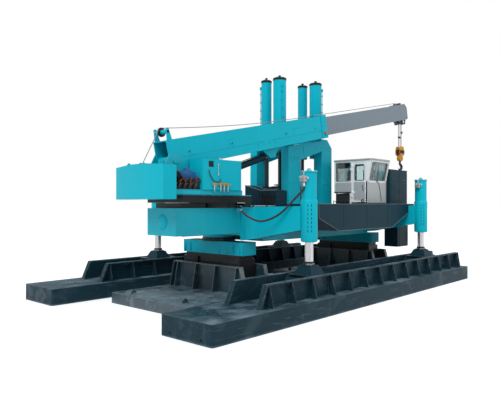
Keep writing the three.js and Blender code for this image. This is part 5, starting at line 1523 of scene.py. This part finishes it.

# Counterweight: a straight weld bead up one side, two lifting eyes and the rope's guide roller on top.
weight_half, eye_a = 1.105, -2.33
eyes = []
for b in (-0.75, 0.75):
    eye = [(-0.07, 0), (0.07, 0), (0.07, 0.05), *[(0.045 * math.cos(t), 0.07 + 0.045 * math.sin(t))
           for t in np.linspace(0, math.pi, 9)], (-0.07, 0.05)]
    eyes.append(crane_plate([(a + eye_a, 3.895 + z) for a, z in eye], b - 0.012, b + 0.012))
    eyes.append(turned([(0.019, -0.014), (0.019, 0.014)], on_crane(eye_a, b, 3.965), across_crane, 20))
eyes.append(bent_pipe([on_crane(-2.118, -weight_half + 0.003, 3.05),
                       on_crane(-2.118, -weight_half + 0.003, 3.87)],
                      0.007, 8))
guide_a, guide_b = -2.2, 0.3
for b in (guide_b - 0.09, guide_b + 0.09):
    eyes.append(crane_plate([(guide_a - 0.04, 3.93), (guide_a + 0.04, 3.93), (guide_a + 0.025, 4.005),
                             (guide_a - 0.025, 4.005)], b - 0.008, b + 0.008))
piece("counterweight_fittings", eyes, teal, "crane_upper")
guide = turned([(0.012, -0.1), (0.012, -0.075), (0.034, -0.072), (0.022, -0.05), (0.022, 0.05),
                (0.034, 0.072),
                (0.012, 0.075), (0.012, 0.1)], on_crane(guide_a, guide_b, 3.975), across_crane, 28)
piece("rope_guide_roller", guide, grease_black, "crane_upper")

# Oil tank: weld beads, lid, sight glass, yellow cocks below and the drain pipes under them.
tank_near, tank_back, tank_front, tank_top = -0.94, -1.15, 0.24, 4.11
tank = []
for a in (tank_back + 0.006, tank_front - 0.006):
    tank.append(bent_pipe([on_crane(a, tank_near, 3.3), on_crane(a, tank_near, tank_top - 0.01)], 0.006, 8))
tank.append(turned([(0.1, 0), (0.1, 0.02), (0.085, 0.028)], on_crane(-0.3, -0.66, tank_top), upright, 36))
tank.append(crane_bar((-1.15, 0.24), (tank_near - 0.006, tank_near + 0.004), (3.285, 3.315)))
piece("tank_seams", tank, teal, "crane_upper")
lid = [turned([(0.065, 0.028), (0.065, 0.06), (0.058, 0.066)], on_crane(-0.3, -0.66, tank_top), upright,
              28),
       hex_bolts(circle_of(on_crane(-0.3, -0.66, tank_top + 0.02), 0.085, 8, along_crane, across_crane),
                 upright, 0.018, 0.01)]
piece("tank_filler_cap", lid, zinc, "crane_upper")
# The black plate at the back of the filler recess is painted shade in the recess.
mouth = [crane_bar((-0.935, -0.765), (tank_near + 0.008, tank_near + 0.016), (3.905, 4.055)),
         turned([(0.04, 0), (0.04, 0.02), (0.03, 0.026)], on_crane(-0.85, tank_near + 0.02, 3.98),
                -across_crane, 24)]
piece("tank_recess", mouth, black_iron, "crane_upper")
sight = bent_pipe([on_crane(-0.62, tank_near - 0.02, 3.98), on_crane(-0.62, tank_near - 0.02, 3.68)],
                  0.009, 10)
piece("tank_sight_tube", gathered(sight,
                                  *[crane_bar((-0.64, -0.6), (tank_near - 0.032, tank_near + 0.002),
                                              (z, z + 0.03))
                                           for z in (3.68, 3.96)]), zinc, "crane_upper")
drain = bent_hose([
    on_crane(-0.93, tank_near + 0.01, 3.84), on_crane(-0.92, tank_near - 0.03, 3.72),
    on_crane(-0.82, tank_near - 0.035, 3.56),
    on_crane(-0.66, tank_near - 0.03, 3.5), on_crane(-0.55, tank_near - 0.02, 3.54),
    on_crane(-0.5, tank_near + 0.01, 3.6)],
    36, 0.013, 12)
piece("tank_drain_hose", drain, rubber, "crane_upper")
yellow = enamel("signal_yellow", (0.62, 0.27, 0.015), gloss=0.35, worn=(0.2, 0.12, 0.04), chips=0.6,
                dust=0.2)
cocks, tails = [], []
for a in (-0.78, -0.56, -0.44, -0.3):
    cocks.append(crane_bar((a - 0.045, a + 0.045), (tank_near - 0.07, tank_near - 0.015), (3.41, 3.47)))
    cocks.append(crane_bar((a - 0.012, a + 0.09), (tank_near - 0.084, tank_near - 0.07), (3.43, 3.45)))
    tails.append(turned([(0.02, -0.09), (0.02, -0.02), (0.028, -0.018), (0.028, 0.01)],
                        on_crane(a, tank_near - 0.045, 3.41), upright, 6))
    tails.append(bent_hose([on_crane(a, tank_near - 0.045, 3.33),
                            on_crane(a + 0.01, tank_near - 0.04, 3.25),
                                    on_crane(a + 0.05, tank_near + 0.02, 3.2)], 14, 0.012))
    tails.append(turned([(0.016, 0), (0.016, 0.05)], on_crane(a, tank_near + 0.002, 3.44), -across_crane,
                        12))
piece("tank_cocks", cocks, yellow, "crane_upper")
piece("tank_cock_tails", tails, zinc, "crane_upper")

# Machinery bay: a blue motor with its fins and cap, a bundle of hoses that loops over the pump, and
# a few rusty pipe elbows between them.
motor_blue = enamel("motor_blue", (0.008, 0.13, 0.34), gloss=0.3, worn=(0.2, 0.22, 0.24), chips=0.6,
                    dust=0.2)
motor_a, motor_b, motor_z = -1.5, -0.74, 3.62
fins = [(0.131, -0.24)]
for step in np.linspace(-0.22, 0.14, 13):
    fins += [(0.131, step), (0.158, step + 0.004), (0.158, step + 0.012), (0.131, step + 0.016)]
fins += [(0.131, 0.18), (0.15, 0.182), (0.15, 0.235), (0.12, 0.26)]
motor = [turned(fins, on_crane(motor_a, motor_b, motor_z), along_crane, 36),
         crane_bar((motor_a - 0.09, motor_a + 0.07), (motor_b - 0.05, motor_b + 0.05),
                   (motor_z + 0.12, motor_z + 0.22))]
piece("crane_motor", motor, motor_blue, "crane_upper")
bay = np.random.default_rng(21)
bundle = []
for run in range(22):
    b = -0.89 + 0.021 * run
    lift = bay.uniform(-0.05, 0.05)
    start = on_crane(-2.1 + bay.uniform(0, 0.03), b, 3.55 + bay.uniform(-0.2, 0.2))
    end = on_crane(-1.19 + bay.uniform(-0.02, 0.02), b + bay.uniform(-0.02, 0.06),
                   3.42 + bay.uniform(-0.04, 0.12))
    crest = on_crane(-1.95 + bay.uniform(-0.05, 0.05), b - 0.01, 3.72 + lift)
    fall = on_crane(-1.8, b, 3.6 + 1.4 * lift)
    dip = on_crane(-1.5 + bay.uniform(-0.1, 0.1), b + 0.04, 3.4 + lift)
    bundle.append(bent_hose([start, crest, fall, dip, end], 30, bay.uniform(0.018, 0.028)))
for run in range(5):
    a = -2.06 + 0.17 * run
    bundle.append(bent_hose([on_crane(a, -0.86, 3.31), on_crane(a + 0.02, -0.9, 3.38),
                                     on_crane(a + 0.12, -0.88, 3.44), on_crane(a + 0.2, -0.8, 3.4)], 20,
                            0.02))
piece("crane_hose_bundle", bundle, rubber, "crane_upper")
rust = metal("rusty_pipe", (0.2, 0.075, 0.035), 0.6, 0.15, 30.0, (1, 1, 1))
elbows = []
for run in range(4):
    a = -1.86 + 0.17 * run
    elbows.append(bent_hose([on_crane(a, -0.9, 3.42), on_crane(a + 0.03, -0.91, 3.52 + 0.03 * run),
                                     on_crane(a + 0.14, -0.88, 3.56), on_crane(a + 0.26, -0.84, 3.5)], 20,
                            0.014))
piece("crane_pipe_elbows", elbows, rust, "crane_upper")
unions = [turned([(0.024, 0), (0.028, 0.004), (0.028, 0.03), (0.02, 0.034)],
                 on_crane(-1.86 + 0.17 * run, -0.9, 3.4),
                 upright, 6) for run in range(4)]
piece("crane_pipe_unions", unions, rust, "crane_upper")
deck_edge = [crane_bar((-2.085, 0.3), (-0.905, -0.899), z) for z in ((3.162, 3.18), (3.27, 3.288))]
for a in (-1.8, -1.2, -0.6, 0.0):
    deck_edge.append(hex_bolts([on_crane(a, -0.9, 3.225)], -across_crane, 0.03, 0.018))
piece("crane_deck_edges", deck_edge, teal, "crane_upper")
cooler = [crane_bar((a, a + 0.012), (0.9, 0.915), (3.38, 3.82)) for a in np.arange(-1.4, 0.12, 0.045)]
piece("cooler_louvres", cooler, black_iron, "crane_upper")


# ---- Boom ----
# A telescopic box boom: a teal base pressed from two halves that meet in a seam, with its collar,
# and a bare grey inner section with the head sheave in black cheeks.
boom_at = np.array(joints["boom_luff"]["pos_m"])
along_boom = unit(joints["boom_telescope"]["axis"])
above_boom = np.cross(along_boom, across_crane)
grey = enamel("boom_grey", (0.2, 0.245, 0.285), gloss=0.36, worn=(0.3, 0.3, 0.3), chips=0.5, dust=0.12,
              drift=0.1)
coated(grey, "boom_slide", "boom_head")


def on_boom(u, v, w):
    """The place u along, v across and w above the boom's axis, from its pivot."""
    return boom_at + u * along_boom + v * across_crane + w * above_boom


def boom_plate(outline, low, high, edge=0.003):
    """A plate drawn along and above the boom, carried across it from low to high."""
    return plate_cut(outline, -high, -low, boom_at, along_boom, above_boom, edge)


boom_half, foot_w, crown_w, seam_w = 0.3, -0.194, 0.566, 0.075
base = []
for way in (-1, 1):
    for dw in (-0.006, 0.006):
        base.append(bent_pipe([on_boom(-0.12, way * (boom_half - 0.0008), seam_w + dw),
                               on_boom(6.43, way * (boom_half - 0.0008), seam_w + dw)], 0.0055, 8))
    for u, wide in ((2.05, 0.3), (4.9, 0.42)):
        frame_line = [on_boom(u, way * boom_half, seam_w + 0.09),
                      on_boom(u, way * boom_half, seam_w + 0.23),
                      on_boom(u + wide, way * boom_half, seam_w + 0.23)]
        base.append(bent_pipe(frame_line, 0.006, 8))
    for u in (0.55, 2.15, 4.55, 6.1):
        base.append(turned([(0.036, -0.002), (0.036, 0.012), (0.02, 0.022)],
                           on_boom(u, way * boom_half, seam_w + 0.12),
                           way * across_crane, 20))
    for u in (3.25, 3.5, 3.75, 4.0):
        base.append(turned([(0.032, -0.002), (0.032, 0.01), (0.018, 0.018)],
                           on_boom(u, way * boom_half, seam_w - 0.06),
                           way * across_crane, 20))
    base.append(boom_plate([(3.02, foot_w + 0.004), (4.1, foot_w + 0.004), (3.98, foot_w + 0.05),
                            (3.1, foot_w + 0.05)],
                           way * boom_half - 0.006, way * boom_half + 0.006))
for w in (foot_w, crown_w):
    base.append(bent_pipe([on_boom(-0.13, -boom_half + 0.004, w), on_boom(6.43, -boom_half + 0.004, w)],
                          0.006, 8))
    base.append(bent_pipe([on_boom(-0.13, boom_half - 0.004, w), on_boom(6.43, boom_half - 0.004, w)],
                          0.006, 8))
base.append(boom_plate([(-0.14, foot_w - 0.004), (-0.09, foot_w - 0.004), (-0.09, crown_w + 0.004),
                        (-0.14, crown_w + 0.004)],
                       -boom_half - 0.008, -boom_half + 0.003))
base.append(boom_plate([(-0.14, foot_w - 0.004), (-0.09, foot_w - 0.004), (-0.09, crown_w + 0.004),
                        (-0.14, crown_w + 0.004)],
                       boom_half - 0.003, boom_half + 0.008))
piece("boom_seams", base, teal, "boom")
guards = []
for u in (0.55, 2.15, 4.55):
    guards.append(turned([(0.016, 0.012), (0.016, 0.045), (0.01, 0.05)],
                         on_boom(u, -boom_half, seam_w + 0.12),
                         -across_crane, 14))
piece("boom_grease_nipples", guards, black_iron, "boom")

collar_bolts = []
for way in (-1, 1):
    for w in (-0.12, 0.04, 0.2, 0.36, 0.5):
        for u in (6.5, 6.66):
            collar_bolts.append(hex_bolts([on_boom(u, way * 0.322, w)], way * across_crane, 0.034, 0.02))
for u in (6.5, 6.66):
    for v in (-0.2, 0, 0.2):
        collar_bolts.append(hex_bolts([on_boom(u, v, 0.588)], above_boom, 0.034, 0.02))
piece("collar_bolts", collar_bolts, teal, "boom")
lamp_red = shader("lamp_red")
lamp_red[2].inputs["Roughness"].default_value = 0.22
lamp_spots = node(lamp_red[1], "TexNoise", Scale=30.0, Detail=3.0)
lamp_tone = node(lamp_red[1], "ValToRGB")
lamp_tone.color_ramp.elements[0].color = (0.42, 0.03, 0.02, 1)
lamp_tone.color_ramp.elements[1].color = (0.62, 0.1, 0.07, 1)
lamp_red[1].links.new(lamp_spots.outputs["Fac"], lamp_tone.inputs["Fac"])
lamp_red[1].links.new(lamp_tone.outputs["Color"], lamp_red[2].inputs["Base Color"])
lens = turned([(0.062, 0), (0.062, 0.02), (0.057, 0.034), (0.042, 0.048), (0.022, 0.055), (0.004, 0.057)],
              on_boom(6.58, -0.322, -0.03), -across_crane, 32)
piece("collar_lamp", lens, lamp_red[0], "boom")
pads = []
for v in (-0.2, 0.2):
    pads.append(plate_cut([(-0.05, 0), (0.05, 0), (0.05, 0.05), (-0.05, 0.05)], 0, 0.03,
                          on_boom(6.735, v, 0.545),
                          across_crane, above_boom))
piece("collar_wear_pads", pads, zinc, "boom")

# Rope sheave between the horns, and the hoist rope: from the drum over the guide to the sheave,
# along the boom's top and out over the sliding section to the head.
sheave_u, sheave_w, sheave_radius = -0.03, 0.796, 0.12
sheave = turned([(0.062, -0.03), (0.085, -0.026), (sheave_radius, -0.024), (sheave_radius + 0.006, -0.02),
                 (sheave_radius - 0.012, -0.008), (sheave_radius - 0.012, 0.008),
                 (sheave_radius + 0.006, 0.02),
                 (sheave_radius, 0.024), (0.085, 0.026), (0.062, 0.03)], on_boom(sheave_u, 0, sheave_w),
                across_crane, 48)
piece("tail_sheave", sheave, grease_black, "boom")
clips = [turned([(0.04, -0.01), (0.04, 0.002), (0.028, 0.01)], on_boom(sheave_u, way * 0.296, sheave_w),
                way * across_crane, 24) for way in (-1, 1)]
piece("sheave_pin_caps", clips, black_iron, "boom")
strand = metal("wire_rope", (0.34, 0.32, 0.34), 0.4, 0.12, 90.0, (1, 1, 3))
rope = 0.011
groove = sheave_radius - 0.008
rise_foot = on_crane(guide_a + 0.02, guide_b, 4.003)
drum_lead = flowing([on_crane(-1.82, 0.05, 3.51), on_crane(-1.85, 0.1, 3.7), on_crane(-2.05, 0.24, 3.93),
                     rise_foot], 24)
piece("hoist_rope_lead", bent_pipe(drum_lead, rope, 10), strand, "crane_upper")
sheave_middle = on_boom(sheave_u, 0, sheave_w)
rear_of_sheave = sheave_middle - groove * along_crane
rising = bent_pipe(np.linspace(rise_foot, rear_of_sheave, 14), rope, 10)
lead = piece("hoist_rope_rise", rising, strand, None)
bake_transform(lead)
turn_angles = np.linspace(math.pi, 0.5 * math.pi + math.asin(along_boom[2]), 10)
over = [sheave_middle + groove * (math.cos(t) * along_crane + math.sin(t) * upright) for t in turn_angles]
guide_u = 6.35
along_top = [on_boom(u, 0, w) for u,
             w in ((1.0, 0.812), (2.2, 0.722), (3.4, 0.657), (4.4, 0.627), (5.4, 0.617), (guide_u, 0.617))]
run_line = np.vstack([over, flowing([over[-1], *along_top], 50)[1:]])
piece("hoist_rope_run", bent_pipe(run_line, rope, 10), strand, "boom")
guide_plate = [boom_plate([(6.36, 0.585), (6.44, 0.585), (6.44, 0.66), (6.36, 0.66)], v - 0.01, v + 0.01)
               for v in (-0.06, 0.06)]
guide_plate.append(turned([(0.02, -0.055), (0.02, 0.055)], on_boom(6.4, 0, 0.626), across_crane, 20))
piece("collar_rope_guide", guide_plate, teal, "boom")
head_u = 11.98
reach = bent_pipe(np.linspace(on_boom(guide_u, 0, 0.617), on_boom(head_u, 0, 0.6), 60), rope, 10)
taut = piece("hoist_rope_reach", reach, strand, None)
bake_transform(taut)

# Head: black guard on top, a black sheave housing in front of the slot, pin plates and weld beads.
head = [boom_plate([(11.96, 0.508), (12.26, 0.508), (12.26, 0.575), (12.2, 0.585), (12.02, 0.585),
                    (11.96, 0.575)],
                   -0.1, 0.1)]
head.append(boom_plate([(11.93, -0.14), (12.415, -0.14), (12.34, -0.325), (12.03, -0.325)], -0.158, -0.151))
head.append(boom_plate([(11.93, -0.14), (12.415, -0.14), (12.34, -0.325), (12.03, -0.325)], 0.151, 0.158))
piece("head_guards", head, black_iron, "boom_tip")
pin_plates = []
for way in (-1, 1):
    pin_plates.append(turned([(0.065, 0.158), (0.065, 0.17), (0.04, 0.178)], on_boom(12.2, 0, -0.21),
                             way * across_crane, 28))
    pin_plates.append(hex_bolts([on_boom(12.2 + 0.045 * math.cos(t), way * 0.172,
                                         -0.21 + 0.045 * math.sin(t))
                              for t in (0.8, 2.4, 3.9, 5.5)], way * across_crane, 0.018, 0.01))
piece("head_pin_plates", pin_plates, zinc, "boom_tip")
joint_bead = [bent_pipe([on_boom(11.9, way * 0.2505, -0.12), on_boom(11.9, way * 0.2505, 0.49)], 0.006, 8)
              for way in (-1, 1)]
joint_bead += [boom_plate([(12.1, 0.3), (12.42, 0.3), (12.42, 0.33), (12.1, 0.33)], way * 0.25 - 0.006,
                          way * 0.25 + 0.006)
               for way in (-1, 1)]
joint_bead += [hex_bolts([on_boom(u, way * 0.25, w) for u in (12.15, 12.35) for w in (-0.05, 0.42)],
                         way * across_crane, 0.032, 0.018) for way in (-1, 1)]
piece("head_beads", joint_bead, grey, "boom_tip")


# ---- Luffing cylinder ----
# A navy barrel on a pin between the cheeks and a chromed rod to the bracket under the boom.
foot_at = np.array(joints["luff_barrel_swing"]["pos_m"])
along_luff = unit(joints["luff_rod_stroke"]["axis"])
eye_at = foot_at + along_luff * math.hypot(2.35, 0.78)
rod = turned([(0.0615, 0.235), (0.0615, 2.35), (0.056, 2.36), (0.05, 2.4)], foot_at, along_luff, 48)
bush = turned([(0.0451, -0.074), (0.083, -0.074), (0.085, -0.07), (0.085, 0.07), (0.083, 0.074),
               (0.0451, 0.074)],
              eye_at, across_crane, 48)
rod_piece = piece("luff_rod_chrome", rod, chrome, "luff_rod")
piece("luff_rod_eye", bush, grease_black, "luff_rod")
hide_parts("luff_rod")
gland = [turned([(0.1052, z), (0.113, z + 0.003), (0.113, z + wide - 0.003), (0.1052, z + wide)], foot_at,
                along_luff, 48)
         for z, wide in ((0.24, 0.05), (2.12, 0.09))]
feed_side = np.cross(along_luff, across_crane)
feed = bent_pipe([foot_at + along_luff * z + feed_side * 0.125 for z in np.linspace(0.3, 2.15, 6)], 0.012,
                 10)
gland += [turned([(0.02, 0.1), (0.02, 0.14), (0.012, 0.145)], foot_at + along_luff * z, feed_side, 16)
          for z in (0.3, 2.15)]
piece("luff_barrel_glands", [*gland, feed], navy, "luff_barrel")


# ---- Hook block ----
# Two falls of galvanised rope over the head sheave carry a yellow block with a rusty band. The
# forged hook turns in a crosshead under it, and a small clamp and weight hang on the rope.
hook_at = np.array(joints["hook_swing"]["pos_m"])
fall_length, block_height, block_wide, block_thick = 1.04, 0.62, 0.36, 0.22


def by_hook(a, b, z):
    """The place a along and b across the crane and z above the head's pin."""
    return hook_at + a * along_crane + b * across_crane + z * upright


def hook_plate(outline, low, high, edge=0.004):
    """A plate drawn along the crane and up, carried across it from low to high."""
    return plate_cut(outline, -high, -low, hook_at, along_crane, upright, edge)


groove_profile = [(0.0315, -0.055), (0.06, -0.05), (0.098, -0.046), (0.1, -0.03), (0.082, -0.012),
                  (0.082, 0.012),
                  (0.1, 0.03), (0.098, 0.046), (0.06, 0.05), (0.0315, 0.055)]
sheave_piece = piece("head_sheave", turned(groove_profile, hook_at, across_crane, 48), grease_black,
                     "hook")
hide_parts("hook_block")
over_angle = np.linspace(math.pi, 0, 16)
ropes = []
for b in (-0.02, 0.02):
    over_sheave = [by_hook(0.088 * math.cos(t), b * 0.3, 0.088 * math.sin(t)) for t in over_angle]
    down = [by_hook(0.088, b, -z) for z in np.linspace(0.1, fall_length + 0.05, 12)]
    up = [by_hook(-0.088, b, -z) for z in np.linspace(fall_length + 0.05, 0.1, 12)]
    ropes.append(bent_pipe(np.vstack([up, over_sheave, down]), 0.011, 10))
piece("rope_falls", ropes, strand, "hook")
top, low = -fall_length, -fall_length - block_height
w = block_wide / 2
arch = [(0.7 * w * math.cos(t), top - 0.02 + 0.02 * math.sin(t)) for t in np.linspace(0, math.pi, 9)]
side_cheek = arch + [(-0.98 * w, top - 0.16), (-0.98 * w, top - 0.34), (-0.62 * w, top - 0.4),
                     (0.62 * w, top - 0.4),
                     (0.98 * w, top - 0.34), (0.98 * w, top - 0.16)]
block = [hook_plate(side_cheek, -block_thick / 2, -block_thick / 2 + 0.03, 0.006),
         hook_plate(side_cheek, block_thick / 2 - 0.03, block_thick / 2, 0.006),
         hook_plate([(-0.5 * w, top - 0.05), (0.5 * w, top - 0.05), (0.6 * w, top - 0.14),
                     (-0.6 * w, top - 0.14)],
                    -0.07, 0.07, 0.01)]
piece("block_cheeks", block, yellow, "hook")
band = [hook_plate([(-1.0 * w, top - 0.17), (1.0 * w, top - 0.17), (1.0 * w, top - 0.31),
                    (-1.0 * w, top - 0.31)],
                   way * (block_thick / 2 + 0.001) - 0.003, way * (block_thick / 2 + 0.001) + 0.003,
                   0.001) for way in (-1, 1)]
band.append(hook_plate([(-0.9 * w, top - 0.15), (0.9 * w, top - 0.15), (0.9 * w, top - 0.33),
                        (-0.9 * w, top - 0.33)],
                       -0.075, 0.075, 0.01))
rust_band = enamel("block_band", (0.06, 0.022, 0.012), gloss=0.5, worn=(0.2, 0.08, 0.03), chips=0.6,
                   dust=0.2)
piece("block_band", band, rust_band, "hook")
block_sheaves = [turned([(0.03, -0.02), (0.12, -0.018), (0.132, -0.014), (0.118, 0), (0.132, 0.014),
                         (0.12, 0.018), (0.03, 0.02)],
                        by_hook(0, b, top - 0.2), across_crane, 40) for b in (-0.03, 0.03)]
block_sheaves.append(turned([(0.03, -0.125), (0.03, 0.125)], by_hook(0, 0, top - 0.2), across_crane, 24))
for way in (-1, 1):
    block_sheaves.append(turned([(0.05, 0.112), (0.05, 0.122), (0.036, 0.13)], by_hook(0, 0, top - 0.2),
                                way * across_crane, 6))
piece("block_sheaves", block_sheaves, black_iron, "hook")
crosshead = [hook_plate([(-0.62 * w, low + 0.22), (0.62 * w, low + 0.22), (0.78 * w, low + 0.12),
                         (0.6 * w, low + 0.03),
                         (0.3 * w, low), (-0.3 * w, low), (-0.6 * w, low + 0.03), (-0.78 * w, low + 0.12)],
                        -0.08, 0.08, 0.012)]
for way in (-1, 1):
    crosshead.append(turned([(0.045, 0.07), (0.045, 0.105), (0.03, 0.11)], by_hook(0, 0, low + 0.12),
                            way * across_crane, 24))
piece("hook_crosshead", crosshead, yellow, "hook")
bend_centre = low - 0.25
sweep = np.linspace(0.62 * math.pi, -0.82 * math.pi, 34)
share = np.linspace(0, 1, 34)
middle_radius = 0.118 + 0.008 * np.sin(math.pi * share)
belly = 0.75 + 0.45 * np.sin(math.pi * np.clip(share * 1.05, 0, 1))
thick = 0.046 * belly * np.where(share > 0.86, 1 - (share - 0.86) * 5, 1)
curve = [by_hook(r * math.cos(t), 0, bend_centre + r * math.sin(t)) for r, t in zip(middle_radius, sweep)]
shank = [by_hook(0, 0, low + 0.02), by_hook(0, 0, low - 0.05), by_hook(-0.004, 0, low - 0.1)]
hook_line = np.vstack([shank, curve])
hook_width = np.concatenate([[0.042, 0.042, 0.042], np.maximum(thick, 0.009)])
forged = [bent_pipe(hook_line, hook_width, 20),
          turned([(0.034, low + 0.03), (0.05, low + 0.01), (0.05, low - 0.015), (0.036, low - 0.03)],
                 hook_at, upright, 28)]
latch = bent_pipe([by_hook(0.0, 0, bend_centre + 0.098), by_hook(-0.05, 0, bend_centre),
                   by_hook(-0.085, 0, bend_centre - 0.035)],
                  0.007, 8)
piece("forged_hook", [*forged, latch], grease_black, "hook")
clamp = [hook_plate([(-0.11, -0.62), (0.02, -0.62), (0.03, -0.7), (-0.1, -0.7)], -0.035, 0.035, 0.006),
         turned([(0.006, -0.5), (0.045, -0.48), (0.05, -0.44), (0.045, -0.4), (0.006, -0.38)],
                by_hook(0.13, 0, 0), upright, 24)]
clamp.append(bent_hose([by_hook(0.1, 0, -0.12), by_hook(0.125, 0, -0.2), by_hook(0.13, 0, -0.38)], 14,
                       0.005, 8))
piece("overload_weight", clamp, grease_black, "hook")
